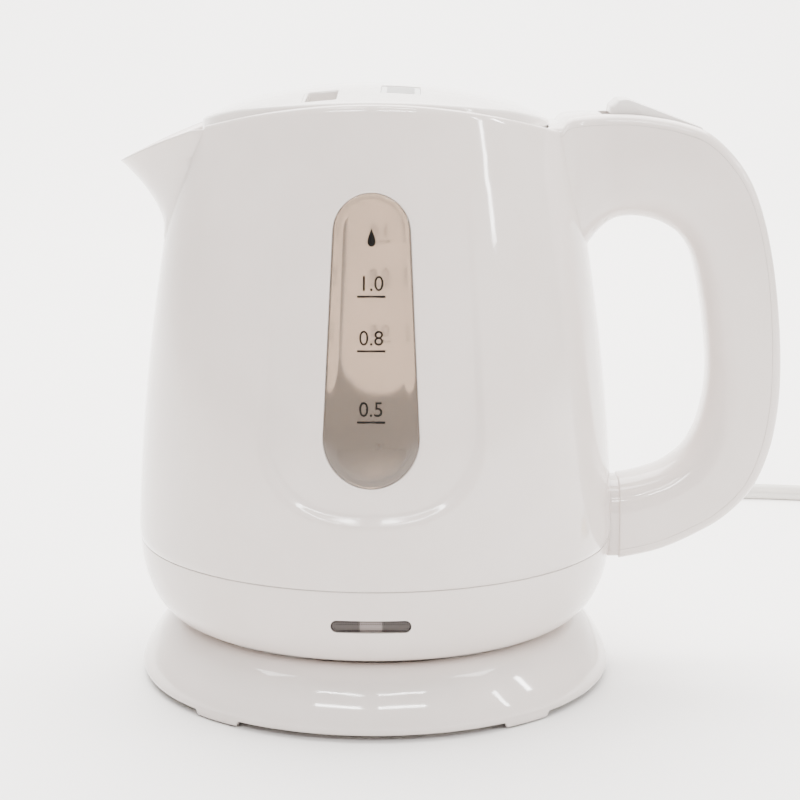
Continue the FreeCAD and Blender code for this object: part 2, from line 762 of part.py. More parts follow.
def clamp_screw_places():
    pitch = 360 / CLAMP_SCREWS
    return [polar(CLAMP_SCREW_RING, pitch * (i + 0.5)) for i in range(CLAMP_SCREWS)]


def make_body():
    solid = body_fill(0, SEAM_Z, TOP_Z).fuse(spout_fill(0))
    hollow = body_fill(WALL, FLANGE_Z + FLANGE_T, COLLAR_Z)
    hollow = hollow.fuse(rod(FLANGE_R, FLANGE_Z - 1, FLANGE_Z + FLANGE_T + 1))
    hollow = hollow.fuse(body_fill(WALL, SEAM_Z, FLANGE_Z))
    hollow = hollow.fuse(rod(COLLAR_R, COLLAR_Z - 1, TOP_Z))
    hollow = hollow.fuse(spout_fill(SPOUT_WALL, SPOUT_WALL))
    shell = solid.cut(hollow)

    for x, y in clamp_screw_places():
        shell = shell.fuse(rod(BASE_BOSS_R, CLAMP_TOP_Z, FLANGE_Z + 0.5, x, y))
        shell = shell.cut(rod(CLAMP_SCREW_R, CLAMP_TOP_Z - 1, FLANGE_Z + FLANGE_T - 1, x, y))
    shell = shell.cut(above_arch(ARCH_CENTRE_Z, RIM_ARCH_R))

    # U panels and window holes, front and rear
    reach = BODY_R + 5
    panel = across(panel_outline(), -reach, -20)
    inner = body_fill(0, PANEL_LOW_Z - 6, PANEL_FADE_Z + 4, panel_depth)
    panel = panel.cut(inner)
    hole = across(oval(0), -reach, -20)
    for cutter in both_sides(panel) + both_sides(hole):
        shell = shell.cut(cutter)

    # latch slots in the collar, steam hole and handle screw holes
    slot_x0 = WELL_X[0] + 1 - GAP
    slot_x1 = WELL_X[1] - 1 + GAP
    slot_z0 = TONGUE_Z[0] - GAP - 0.1
    slot_z1 = TONGUE_Z[1] + GAP + 0.1
    ring = tube(COLLAR_R - 3, TONGUE_REACH + 0.8, slot_z0, slot_z1)
    for side in (-1, 1):
        near, far = sorted((side * (COLLAR_R - 15), side * BODY_R))
        shell = shell.cut(ring.common(block(slot_x0, slot_x1, near, far, slot_z0, slot_z1)))
    shell = shell.cut(steam_hole(STEAM_TUBE_R[1]))
    out = V(1, 0, 0)
    for y in HANDLE_SCREW_Y:
        shell = shell.cut(Part.makeCylinder(HANDLE_SCREW_R, 12, V(BODY_R - 10, y, HANDLE_SCREW_Z), out))
    for y in WIRE_Y:
        shell = shell.cut(Part.makeCylinder(WIRE_R + 0.9, 14, V(BODY_R - 10, y, WIRE_HOLE_Z), out))
    parts["body_shell"] = one_solid(shell.removeSplitter())

    make_windows()


def make_windows():
    reach = BODY_R + 5
    low = WIN_LOW_Z - 5
    high = WIN_TOP_Z + 5
    skin = body_fill(0, low, high, lambda z: panel_depth(z) + SLIP)
    core = body_fill(WALL + SLIP, low, high)
    back = body_fill(WALL + SLIP + WIN_LIP_T, low, high)
    pane = across(oval(-SLIP), -reach, -20).common(skin).cut(core)
    lip = across(oval(WIN_LIP), -reach, -20).common(core).cut(back)
    front = one_solid(pane.fuse(lip).removeSplitter())
    parts["window_front"] = front
    parts["window_rear"] = turned(front, 180)


def make_housing():
    outer = housing_fill(0)
    inner = housing_fill(WALL)
    shell = outer.cut(inner)
    # spigot that fits inside the body shell
    spigot_r = SEAM_R - WALL - SLIP
    shell = shell.fuse(tube(spigot_r - SPIGOT_T, spigot_r, SEAM_Z - 1, SEAM_Z + SPIGOT_H))
    shell = shell.fuse(tube(spigot_r - SPIGOT_T, spigot_r + 1.0, SEAM_Z - 5, SEAM_Z - 0.5))
    shell = shell.cut(rod(CONNECTOR_R + SLIP, HOUSING_Z - 1, HOUSING_Z + WALL + 1))
    lens_hole = block(-LENS_HALF, LENS_HALF, -BODY_R - 3, -50, LENS_Z[0], LENS_Z[1])
    shell = shell.cut(lens_hole)
    for deg in POST_AT:
        x, y = polar(POST_RING, deg)
        shell = shell.cut(rod(HOUSING_SCREW_R, HOUSING_Z - 1, HOUSING_Z + WALL + 1, x, y))
        shell = shell.cut(rod(2 * HOUSING_SCREW_R + SLIP, HOUSING_Z - 1, HOUSING_Z + 1.2, x, y))
    for i in range(4):
        x, y = polar(NUB_RING, 90 * i)
        shell = shell.cut(rod(NUB_R / 2, HOUSING_Z - 1, HOUSING_Z + WALL + 1, x, y))
    for x in (-LAMP_POST_X, LAMP_POST_X):
        post = Part.makeCylinder(LAMP_POST_R, 12.0, V(x, LAMP_BOARD_Y, LENS_Z[1] + 1.7), V(0, -1, 0))
        shell = shell.fuse(post.common(housing_fill(WALL / 2)))
    parts["bottom_housing"] = one_solid(shell.removeSplitter())

    nubs = []
    for i in range(4):
        x, y = polar(NUB_RING, 90 * i)
        pad = rod(NUB_R, DECK_Z + GAP, HOUSING_Z, x, y)
        stem = rod(NUB_R / 2, HOUSING_Z, HOUSING_Z + WALL, x, y)
        nubs.append(pad.fuse(stem).removeSplitter())
    parts["kettle_feet"] = Part.makeCompound(nubs)

    lens_box = block(
        -LENS_HALF + SLIP, LENS_HALF - SLIP, -BODY_R - 3, -50, LENS_Z[0] + SLIP, LENS_Z[1] - SLIP
    )
    shrunk = housing_fill(0.2)
    parts["indicator_lens"] = one_solid(shrunk.cut(housing_fill(WALL)).common(lens_box))
    lamp_y = LAMP_BOARD_Y
    board = block(-9, 9, lamp_y, lamp_y + 1.4, LENS_Z[0] - 3, LENS_Z[1] + 3)
    mid = (LENS_Z[0] + LENS_Z[1]) / 2
    lamp = Part.makeCylinder(1.5, 3.5, V(0, lamp_y, mid), V(0, -1, 0))
    parts["lamp_board"] = board
    parts["indicator_lamp"] = lamp

    screws = []
    for deg in POST_AT:
        x, y = polar(POST_RING, deg)
        screws.append(screw(x, y, HOUSING_Z + 1.2, HOUSING_Z + 13, HOUSING_SCREW_R, 1.0))
    parts["housing_screws"] = Part.makeCompound(screws)


# ================================================================ heater and electrics
def make_heater():
    """Steel plate under the body's flange, its seal, clamp ring, element and spreader."""
    plate_top = FLANGE_Z - SEAL_T
    rise = FLANGE_Z + PLATE_RISE
    t = STEEL_T
    plate = spun_lines([
        (0, rise), (DISH_R, rise), (DISH_R + 2.4, plate_top), (PLATE_R, plate_top),
        (PLATE_R, plate_top - t), (DISH_R + 1.6, plate_top - t), (DISH_R - 1.0, rise - t), (0, rise - t),
    ])
    parts["heating_plate"] = plate
    parts["plate_seal"] = tube(FLANGE_R + 0.6, PLATE_R, plate_top, FLANGE_Z)

    ring = tube(FLANGE_R, CLAMP_R, CLAMP_TOP_Z - CLAMP_T, CLAMP_TOP_Z)
    ring = ring.fuse(tube(FLANGE_R + 1, PLATE_R, CLAMP_TOP_Z - 0.5, plate_top - t))
    screws = []
    for x, y in clamp_screw_places():
        ring = ring.cut(rod(CLAMP_SCREW_R, CLAMP_TOP_Z - CLAMP_T - 1, CLAMP_TOP_Z + 1, x, y))
        screws.append(screw(x, y, CLAMP_TOP_Z - CLAMP_T, CLAMP_TOP_Z + 4, CLAMP_SCREW_R, 1.4))
    notch_half = HANDLE_SCREW_Y[1] + 2 * HANDLE_SCREW_R + 1.0
    notch_in = CLAMP_R - CLAMP_NOTCH
    low_z = CLAMP_TOP_Z - CLAMP_T
    ring = ring.cut(block(notch_in, CLAMP_R + 1, -notch_half, notch_half, low_z - 1, CLAMP_TOP_Z + 1))
    post_low = HOUSING_Z + WALL
    for deg in POST_AT:
        x, y = polar(POST_RING, deg)
        post = rod(POST_R, post_low, CLAMP_TOP_Z - CLAMP_T / 2, x, y)
        ring = ring.fuse(post).cut(rod(HOUSING_SCREW_R, post_low, post_low + 12, x, y))
    parts["plate_clamp_ring"] = one_solid(ring.removeSplitter())
    parts["clamp_ring_screws"] = Part.makeCompound(screws)

    under = rise - t
    parts["heat_spreader"] = rod(DISH_R - 2.5, SPREADER_Z, under)
    centre_z = SPREADER_Z - ELEMENT_TUBE_R
    end_deg = 180 - ELEMENT_SWEEP / 2
    loop = Part.makeTorus(ELEMENT_R, ELEMENT_TUBE_R, V(0, 0, centre_z), UP, -180, 180, ELEMENT_SWEEP)
    loop = turned(loop, end_deg)
    ends = []
    for deg in (end_deg, -end_deg):
        x, y = polar(ELEMENT_R, deg)
        ends.append(rod(ELEMENT_TUBE_R, centre_z - 14, centre_z, x, y))
    parts["heating_element"] = joined([loop] + ends)

    low = SPREADER_Z - THERMOSTAT_H
    holder = rod(THERMOSTAT_R, low, SPREADER_Z - DISC_T).cut(rod(4.0, low - 1, SPREADER_Z))
    parts["thermostat"] = holder
    discs = [rod(DISC_R, SPREADER_Z - DISC_T, SPREADER_Z, x, 0) for x in (-DISC_X, DISC_X)]
    parts["dry_boil_discs"] = Part.makeCompound(discs)


def make_connector():
    """Kettle half of the 360 degree connection, round the socket tower."""
    low = HOUSING_Z - 1.4
    bore = TOWER_R + 2 * GAP
    ring_room = TOWER_R + SLIP_RING_W + 2 * GAP
    body = rod(CONNECTOR_R, low, CONNECTOR_TOP_Z)
    body = body.cut(rod(bore, low, CONNECTOR_TOP_Z - 4))
    body = body.cut(rod(ring_room, low - 1, HOUSING_Z + 1))
    top = CONNECTOR_TOP_Z - 4
    outer_ring = tube(LIVE_R[0] - 1.0 + GAP, LIVE_R[0] - GAP, WELL_Z + 12, top)
    inner_ring = tube(PIN_R + GAP, EARTH_R[0] - GAP, WELL_Z + 12, top)
    parts["kettle_connector"] = body
    parts["connector_contacts"] = Part.makeCompound([outer_ring, inner_ring])
    control_z = SPREADER_Z - THERMOSTAT_H
    links = [block(x - 2, x + 2, -2, 2, CONNECTOR_TOP_Z, control_z) for x in (-9.0, 9.0)]
    parts["connector_brackets"] = Part.makeCompound(links)


# ================================================================ handle pieces
def body_envelope(grow):
    """Everything inside the kettle body's outer surface, seam to rim and housing."""
    return body_fill(-grow, SEAM_Z, TOP_Z).fuse(housing_fill(-grow))


def make_handle():
    whole = handle_fill(0, 0, 0).cut(body_envelope(0))
    hollow = handle_fill(HANDLE_WALL, COVER_T, HANDLE_WALL)
    zone = handle_outer_zone(COVER_T)
    seam_zone = handle_outer_zone(COVER_T + SLIP)

    pocket_x0 = LEVER_PIN_X - LEVER_LEN - LEVER_ROOM
    pocket_x1 = LEVER_PIN_X + 7.0
    half = LEVER_W / 2 + GAP
    pocket = block(pocket_x0, pocket_x1, -half, half, LEVER_PIN_Z - 4.5, RIM_Z + 5)
    shell = whole.cut(hollow).cut(seam_zone)
    shell = shell.cut(pocket)
    cover = whole.common(zone).cut(pocket)

    # cheeks that carry the lever's pin, and the wall behind the pocket
    cheeks = []
    for y0, y1 in ((-HANDLE_W / 2 + HANDLE_WALL - 0.4, -half), (half, HANDLE_W / 2 - HANDLE_WALL + 0.4)):
        cheeks.append(block(LEVER_PIN_X - 4, LEVER_PIN_X + 4, y0, y1, LEVER_PIN_Z - 8, LEVER_PIN_Z + 2.6))
    for cheek in cheeks:
        shell = shell.fuse(cheek)
    shell = shell.cut(seam_zone)
    pin_len = HANDLE_W - 2 * HANDLE_WALL - 0.4
    pin = Part.makeCylinder(
        LEVER_PIN_R, pin_len, V(LEVER_PIN_X, -pin_len / 2, LEVER_PIN_Z), V(0, 1, 0)
    )
    shell = shell.cut(pin)
    parts["lever_pivot_pin"] = pin

    # screw bosses at the lower root
    out = V(1, 0, 0)
    screws = []
    for y in HANDLE_SCREW_Y:
        start = V(BODY_R - 4, y, HANDLE_SCREW_Z)
        boss = Part.makeCylinder(3.0, 18, start, V(1, 0, 0)).cut(body_envelope(0))
        shell = shell.fuse(boss)
        hole = Part.makeCylinder(HANDLE_SCREW_R, 15, start, V(1, 0, 0))
        shell = shell.cut(hole)
        inside_x = math.sqrt((body_radius(HANDLE_SCREW_Z) - WALL) ** 2 - y * y)
        reach = BODY_R + 9 - inside_x
        shank = Part.makeCylinder(HANDLE_SCREW_R, reach, V(inside_x - 0.2, y, HANDLE_SCREW_Z), out)
        head = Part.makeCylinder(2.7, 1.6, V(inside_x - 1.8, y, HANDLE_SCREW_Z), out)
        screws.append(shank.fuse(head).removeSplitter())
    parts["handle_shell"] = one_solid(shell.removeSplitter())
    parts["handle_cover"] = one_solid(cover.removeSplitter())
    parts["handle_screws"] = Part.makeCompound(screws)

    make_lever()
    make_steam_switch()


def make_lever():
    """Wedge paddle on a pin at its rear end; its front end is pressed down."""
    z = LEVER_PIN_Z
    x = LEVER_PIN_X
    points = [
        V(x + 5.0, 0, z + 4.6),
        V(x + 5.4, 0, z + 1.0),
        V(x + 2.6, 0, z - 2.4),
        V(x - 3.0, 0, z - 2.6),
        V(x - 10.0, 0, z + 4.6),
        V(x - LEVER_LEN, 0, z + 8.0),
        V(x - LEVER_LEN + 0.4, 0, z + 10.6),
        V(x - LEVER_LEN + 4.2, 0, z + 13.3),
    ]
    closed = points + [points[0]]
    outline = Part.Wire([line(a, b) for a, b in zip(closed, closed[1:])])
    paddle = across(outline, -LEVER_W / 2, LEVER_W / 2)
    bore = Part.makeCylinder(LEVER_PIN_R + RUN, 60, V(x, -30, z), V(0, 1, 0))
    parts["power_lever"] = paddle.cut(bore)


def make_steam_switch():
    """Steam tube from the chamber to the snap disc switch inside the handle's upper arm."""
    x0 = body_radius(STEAM_Z) - WALL
    out = V(1, 0, 0)
    barrel = Part.makeCylinder(STEAM_TUBE_R[1], STEAM_END_X - x0, V(x0 - 1.5, 0, STEAM_Z), out)
    bore = Part.makeCylinder(STEAM_TUBE_R[0], STEAM_END_X + 2 - x0, V(x0 - 2.5, 0, STEAM_Z), out)
    tube_end = STEAM_END_X - 1.5
    parts["steam_tube"] = barrel.cut(bore)
    half = SWITCH_HALF
    case = block(tube_end, tube_end + SWITCH_LEN, -half, half, STEAM_Z - 6.4, STEAM_Z + 5.6)
    inside = half - 1.4
    room = block(tube_end - 1, tube_end + 6, -inside, inside, STEAM_Z - 5.0, STEAM_Z + 4.4)
    case = case.cut(room).cut(steam_hole(STEAM_TUBE_R[1]))
    parts["steam_switch_housing"] = case
    parts["bimetal_disc"] = Part.makeCylinder(4.3, 0.5, V(tube_end + 5.5, 0, STEAM_Z - 0.3), out)

    middle = handle_middle(0.42)
    first = V(tube_end + SWITCH_LEN, 0, STEAM_Z - 3.0)
    last = V(BODY_R - WALL - 3.0, 0, WIRE_HOLE_Z)
    path = [first, first + V(7.0, 0, -4.4)] + middle[5:13] + [last]
    wires = []
    for y in WIRE_Y:
        wires.append(swept_round([p + V(0, y, 0) for p in path], WIRE_R))
    parts["handle_wires"] = Part.makeCompound(wires)


# ================================================================ lid
def dome(drop, r, low_z):
    """Solid below the lid's domed surface moved down by drop, inside radius r, above low_z."""
    arch_r = LID_CROWN_Z - ARCH_CENTRE_Z - drop
    half_a = math.radians(24)
    ends = []
    for sign in (-1, 1):
        ends.append(V(sign * arch_r * math.sin(half_a), 0, ARCH_CENTRE_Z + arch_r * math.cos(half_a)))
    crown = V(0, 0, LID_CROWN_Z - drop)
    floor = low_z - 20
    wire = Part.Wire([
        Part.Arc(ends[0], crown, ends[1]).toShape(),
        line(ends[1], V(ends[1].x, 0, floor)),
        line(V(ends[1].x, 0, floor), V(ends[0].x, 0, floor)),
        line(V(ends[0].x, 0, floor), ends[0]),
    ])
    face = Part.Face(wire)
    pivot = V(0, 0, LID_CROWN_Z - LID_SIDE_R)
    swing = 9.0
    face.rotate(pivot, V(1, 0, 0), -swing)
    barrel = face.revolve(pivot, V(1, 0, 0), 2 * swing)
    return barrel.common(rod(r, low_z, LID_CROWN_Z + 5))


def sided(side, near, far):
    """A pair of y values on one side of the lid, lowest first."""
    return sorted((side * near, side * far))


def make_lid():
    skirt_in = LID_R - LID_SKIN
    top = dome(0, LID_R, LID_SKIRT_Z)
    lid = top.cut(dome(LID_SKIN, skirt_in, LID_SKIRT_Z))
    x0, x1 = WELL_X
    press_room = SQUEEZE + 4.0
    for side in (-1, 1):
        low, high = sided(side, *WELL_Y)
        wall_low, wall_high = sided(side, WELL_Y[0], WELL_Y[1] + WELL_WALL)
        outer = block(x0 - WELL_WALL, x1 + WELL_WALL, wall_low, wall_high, WELL_FLOOR_Z + GAP, LID_CROWN_Z)
        lid = lid.fuse(outer.common(top)).cut(block(x0, x1, low, high, WELL_FLOOR_Z - 1, LID_CROWN_Z + 2))
        near, far = sided(side, WELL_Y[0], WELL_Y[0] + press_room)
        lid = lid.cut(block(
            x0 - WELL_WALL - 1, x1 + WELL_WALL + 1, near, far, WELL_FLOOR_Z, WELL_FLOOR_Z + 3 * GAP
        ))
        near, far = sided(side, WELL_Y[1] - 2, LID_R + 5)
        lid = lid.cut(block(x0 + 1 - GAP, x1 - 1 + GAP, near, far, TONGUE_Z[0] - GAP, TONGUE_Z[1] + GAP))
    screws = []
    head_z = LID_SKIRT_Z - LID_FLOOR_T + 0.8
    for deg in LID_BOSS_AT:
        x, y = polar(LID_BOSS_RING, deg)
        boss = rod(LID_BOSS_R, LID_SKIRT_Z + 1.0, LID_CROWN_Z, x, y).common(top)
        lid = lid.fuse(boss).cut(rod(LID_SCREW_R, LID_SKIRT_Z - 1, LID_SKIRT_Z + 9, x, y))
        screws.append(screw(x, y, head_z, LID_SKIRT_Z + 8, LID_SCREW_R, 0.8))
    gx0, gx1 = GRILLE_X
    gy0, gy1 = GRILLE_Y
    lid = lid.cut(block(gx0, gx1, gy0, gy1, LID_CROWN_Z - 12, LID_CROWN_Z + 3))
    parts["lid_top"] = one_solid(lid.removeSplitter())
    parts["lid_screws"] = Part.makeCompound(screws)

    grille = dome(GAP, LID_R, LID_SKIRT_Z).cut(dome(LID_SKIN, LID_R, LID_SKIRT_Z))
    room = block(gx0 + SLIP, gx1 - SLIP, gy0 + SLIP, gy1 - SLIP, LID_SKIRT_Z, LID_CROWN_Z + 3)
    grille = grille.common(room)
    pitch = (gy1 - gy0 - 4) / GRILLE_SLOTS
    for i in range(GRILLE_SLOTS):
        y = gy0 + 2 + pitch * (i + 0.5)
        slot = block(gx0 + GRILLE_FRAME, gx1 - GRILLE_FRAME, y - 0.8, y + 0.8, LID_SKIRT_Z, LID_CROWN_Z + 3)
        grille = grille.cut(slot)
    parts["vent_grille"] = grille.removeSplitter()
    make_lid_inner()
    make_latches()


def make_lid_inner():
    """Inner plate of the lid with its rim, the post between the latch springs and the seal's groove."""
    inner_r = LID_R - LID_SKIN - SLIP
    floor_z = LID_SKIRT_Z - LID_FLOOR_T
    floor = rod(inner_r, floor_z, LID_SKIRT_Z)
    floor = floor.fuse(tube(inner_r - 2.0, inner_r, LID_SKIRT_Z, LID_SKIRT_Z + 3.4))
    for deg in LID_BOSS_AT:
        x, y = polar(LID_BOSS_RING, deg)
        floor = floor.cut(rod(LID_SCREW_R + SLIP, floor_z - 1, LID_SKIRT_Z + 1, x, y))
        floor = floor.cut(rod(2 * LID_SCREW_R + SLIP, floor_z - 1, floor_z + 0.8, x, y))
    mid_x = (WELL_X[0] + WELL_X[1]) / 2
    half = SPRING_POST
    floor = floor.fuse(block(mid_x - 4, mid_x + 4, -half, half, LID_SKIRT_Z - 0.5, WELL_FLOOR_Z + 5.2))
    for x, y in STEAM_INLETS:
        floor = floor.cut(rod(2.2, floor_z - 1, LID_SKIRT_Z + 1, x, y))
    for side in (-1, 1):
        near, far = sided(side, WELL_Y[1] - 4, LID_R)
        floor = floor.cut(block(WELL_X[0] - 3, WELL_X[1] + 3, near, far, LID_SKIRT_Z + 0.5, LID_SKIRT_Z + 6))
    groove = tube(inner_r - SEAL_IN, inner_r + 1, *SEAL_GROOVE_Z)
    parts["lid_inner"] = one_solid(floor.cut(groove).removeSplitter())
    parts["lid_seal"] = tube(inner_r - SEAL_IN, COLLAR_R - SLIP, *SEAL_GROOVE_Z)


def make_latches():
    """Two pinch latches, mirrored, each with its spring against the post."""
    x0, x1 = WELL_X
    mid_x = (x0 + x1) / 2
    thumb_y = -WELL_Y[0] + 0.4
    plate_in = thumb_y + THUMB_T
    low_z = TONGUE_Z[0]
    plate = block(x0 - 1.4, x1 + 1.4, -LID_R, plate_in, TONGUE_Z[1] - 0.2, WELL_FLOOR_Z)
    plate = plate.common(rod(LID_R - LID_SKIN - GAP, low_z, WELL_FLOOR_Z))
    thumb = block(x0 + GAP, x1 - GAP, thumb_y, plate_in, WELL_FLOOR_Z - 0.5, LID_CROWN_Z)
    thumb = thumb.common(dome(LID_SKIN + 3 * GAP, LID_R, LID_SKIRT_Z))
    tongue = block(x0 + 1, x1 - 1, -TONGUE_REACH - 2, -WELL_Y[1] + 4, low_z, TONGUE_Z[1])
    latch = plate.fuse(thumb).fuse(tongue.common(rod(TONGUE_REACH, low_z, WELL_FLOOR_Z)))
    parts["lid_latch_front"] = one_solid(latch.removeSplitter())
    parts["lid_latch_rear"] = parts["lid_latch_front"].mirror(ORIGIN, V(0, 1, 0))

    start = plate_in + SPRING_WIRE_R + SLIP
    length = -SPRING_POST - SPRING_WIRE_R - SLIP - start
    helix = Part.makeHelix(length / SPRING_TURNS, length, SPRING_R)
    helix.rotate(ORIGIN, V(1, 0, 0), -90)
    helix.translate(V(mid_x, start, WELL_FLOOR_Z + 2.6))
    first = helix.Edges[0]
    at = first.valueAt(first.FirstParameter)
    along = first.tangentAt(first.FirstParameter)
    ring = Part.Wire([Part.makeCircle(SPRING_WIRE_R, at, along)])
    coil = Part.Wire(helix.Edges).makePipeShell([ring], True, True)
    parts["latch_spring_front"] = coil
    parts["latch_spring_rear"] = coil.mirror(ORIGIN, V(0, 1, 0))


make_base()
make_cord()
make_body()
make_housing()
make_heater()
make_connector()
make_handle()
make_lid()

os.makedirs("parts", exist_ok=True)
for name, shape in parts.items():
    shape.exportStep("parts/" + name + ".step")
print(len(parts), "nodes")
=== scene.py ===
import bpy
import bmesh
import json
import math
from mathutils import Matrix, Vector
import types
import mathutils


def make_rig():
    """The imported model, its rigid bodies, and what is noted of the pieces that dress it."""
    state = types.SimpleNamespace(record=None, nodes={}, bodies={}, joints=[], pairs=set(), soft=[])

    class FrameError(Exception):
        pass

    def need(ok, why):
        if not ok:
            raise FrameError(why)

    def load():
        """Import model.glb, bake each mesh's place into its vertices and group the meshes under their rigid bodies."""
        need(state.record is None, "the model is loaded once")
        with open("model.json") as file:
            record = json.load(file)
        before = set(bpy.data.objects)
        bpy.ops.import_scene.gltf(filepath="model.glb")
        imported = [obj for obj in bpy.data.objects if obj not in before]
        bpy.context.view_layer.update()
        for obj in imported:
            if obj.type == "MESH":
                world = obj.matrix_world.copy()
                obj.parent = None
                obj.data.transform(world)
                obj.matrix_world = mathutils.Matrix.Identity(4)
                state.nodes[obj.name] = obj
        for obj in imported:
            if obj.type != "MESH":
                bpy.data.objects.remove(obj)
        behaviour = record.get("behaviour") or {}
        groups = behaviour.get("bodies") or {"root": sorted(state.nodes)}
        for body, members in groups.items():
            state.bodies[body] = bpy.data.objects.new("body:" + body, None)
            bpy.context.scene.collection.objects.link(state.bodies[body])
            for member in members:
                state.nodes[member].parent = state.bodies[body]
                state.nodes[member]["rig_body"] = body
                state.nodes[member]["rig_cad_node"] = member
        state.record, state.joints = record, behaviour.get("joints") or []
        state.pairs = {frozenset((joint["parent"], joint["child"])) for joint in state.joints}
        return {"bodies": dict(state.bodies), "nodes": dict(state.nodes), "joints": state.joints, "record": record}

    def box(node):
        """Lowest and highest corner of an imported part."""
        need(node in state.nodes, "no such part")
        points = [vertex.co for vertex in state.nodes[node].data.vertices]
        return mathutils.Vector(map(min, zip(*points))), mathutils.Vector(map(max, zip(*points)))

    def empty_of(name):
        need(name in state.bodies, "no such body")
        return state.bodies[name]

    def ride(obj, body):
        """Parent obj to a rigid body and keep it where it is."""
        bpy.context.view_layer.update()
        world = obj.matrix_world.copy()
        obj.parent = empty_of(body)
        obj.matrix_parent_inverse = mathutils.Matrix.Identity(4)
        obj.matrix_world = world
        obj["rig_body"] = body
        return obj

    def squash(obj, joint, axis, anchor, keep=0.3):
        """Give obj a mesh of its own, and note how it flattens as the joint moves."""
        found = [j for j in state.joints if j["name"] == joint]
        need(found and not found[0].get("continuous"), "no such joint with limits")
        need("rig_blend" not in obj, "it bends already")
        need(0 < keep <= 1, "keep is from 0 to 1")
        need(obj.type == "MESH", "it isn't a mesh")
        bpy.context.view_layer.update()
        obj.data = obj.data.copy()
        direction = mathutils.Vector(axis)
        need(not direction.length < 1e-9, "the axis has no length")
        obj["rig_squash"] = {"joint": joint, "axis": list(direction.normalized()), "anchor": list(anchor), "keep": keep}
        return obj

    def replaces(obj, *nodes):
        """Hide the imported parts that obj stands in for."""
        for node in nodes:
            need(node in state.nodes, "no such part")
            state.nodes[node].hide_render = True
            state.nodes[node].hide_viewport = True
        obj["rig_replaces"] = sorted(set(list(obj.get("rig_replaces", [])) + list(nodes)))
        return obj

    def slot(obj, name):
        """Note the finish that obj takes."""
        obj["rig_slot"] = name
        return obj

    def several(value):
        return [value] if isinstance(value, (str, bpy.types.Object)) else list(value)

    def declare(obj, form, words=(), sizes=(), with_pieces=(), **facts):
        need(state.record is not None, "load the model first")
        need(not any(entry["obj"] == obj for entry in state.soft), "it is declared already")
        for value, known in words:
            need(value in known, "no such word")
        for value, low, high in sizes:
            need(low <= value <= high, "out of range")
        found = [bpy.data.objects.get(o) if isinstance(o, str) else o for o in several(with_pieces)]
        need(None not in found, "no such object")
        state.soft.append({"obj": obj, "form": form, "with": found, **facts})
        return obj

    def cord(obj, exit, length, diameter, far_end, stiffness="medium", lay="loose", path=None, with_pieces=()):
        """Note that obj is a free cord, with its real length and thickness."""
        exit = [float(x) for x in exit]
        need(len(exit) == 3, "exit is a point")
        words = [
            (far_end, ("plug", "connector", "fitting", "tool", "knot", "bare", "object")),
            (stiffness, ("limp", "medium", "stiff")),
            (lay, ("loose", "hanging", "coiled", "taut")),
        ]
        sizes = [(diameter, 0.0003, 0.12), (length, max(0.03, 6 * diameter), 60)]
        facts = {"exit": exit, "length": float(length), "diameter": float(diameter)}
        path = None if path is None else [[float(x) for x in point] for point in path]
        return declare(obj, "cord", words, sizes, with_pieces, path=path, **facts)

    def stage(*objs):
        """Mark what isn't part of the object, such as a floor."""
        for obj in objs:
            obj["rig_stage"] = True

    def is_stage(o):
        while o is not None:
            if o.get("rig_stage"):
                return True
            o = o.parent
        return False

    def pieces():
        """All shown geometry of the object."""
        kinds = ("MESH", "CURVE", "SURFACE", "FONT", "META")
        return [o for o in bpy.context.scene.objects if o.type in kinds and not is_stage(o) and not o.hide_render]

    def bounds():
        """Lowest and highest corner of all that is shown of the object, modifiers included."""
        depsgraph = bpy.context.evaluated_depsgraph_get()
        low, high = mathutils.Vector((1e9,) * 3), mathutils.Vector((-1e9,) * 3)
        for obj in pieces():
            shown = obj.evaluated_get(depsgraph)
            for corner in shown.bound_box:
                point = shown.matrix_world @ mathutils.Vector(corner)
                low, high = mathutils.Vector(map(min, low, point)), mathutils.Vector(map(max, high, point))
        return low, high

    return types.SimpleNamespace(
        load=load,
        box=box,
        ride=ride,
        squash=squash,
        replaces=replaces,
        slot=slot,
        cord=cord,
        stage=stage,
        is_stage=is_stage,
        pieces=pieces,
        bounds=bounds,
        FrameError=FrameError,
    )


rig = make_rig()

# Electric kettle on its power base. Shapes are worked out in millimetres and stored in metres.
MM = 0.001
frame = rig.load()
nodes = frame["nodes"]
cad_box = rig.bounds()

# ---- sizes, in millimetres
SEAM_Z = 46.3
SEAM_R = 76.2
BODY_R = 76.6
BODY_R_Z = 51.0
RIM_R = 58.0
RIM_Z = 186.4
ARCH_R = 170.0
ARCH_Z = RIM_Z - ARCH_R
WALL = 2.4
COLLAR_R = 54.8
COLLAR_Z = 170.0
FLOOR_Z = 60.2

SPOUT_LOW_Z = 143.0
SPOUT_REACH = 44.0
SPOUT_CURL = 1.8
SPOUT_LOW_HALF = 12.0
SPOUT_TOP_HALF = 35.0
SPOUT_ROUND = 1.7
SPOUT_SPREAD = 0.8       # how early the beak widens on its way up
SPOUT_WALL = 1.35        # the ridge's move inwards over that of the wall, as the ridge leans
SPOUT_FALL = 2.6         # how steeply the beak's plan drops into the round body
RIDGE_SOFT = 0.0012      # takes the point off the ridge's middle line
RIDGE_DROP = 0.0346      # its square root, so that the ridge keeps its reach
SPOUT_SOFT_OUT = 1.6     # width of the round between beak and body, outside and inside
SPOUT_SOFT_IN = 1.2
ARCH_STEPS = 12

WIN_LOW_Z = 76.6
WIN_TOP_Z = 161.6
WIN_LOW_R = 14.4
WIN_TOP_R = 11.4
PANEL_DEG = 27.5
PANEL_LOW_Z = 65.0
PANEL_SIDE_Z = 94.7
PANEL_FULL_Z = 104.6
PANEL_FADE_Z = 168.0
PANEL_DEPTH = 1.4
PANEL_ROUND = 2.57

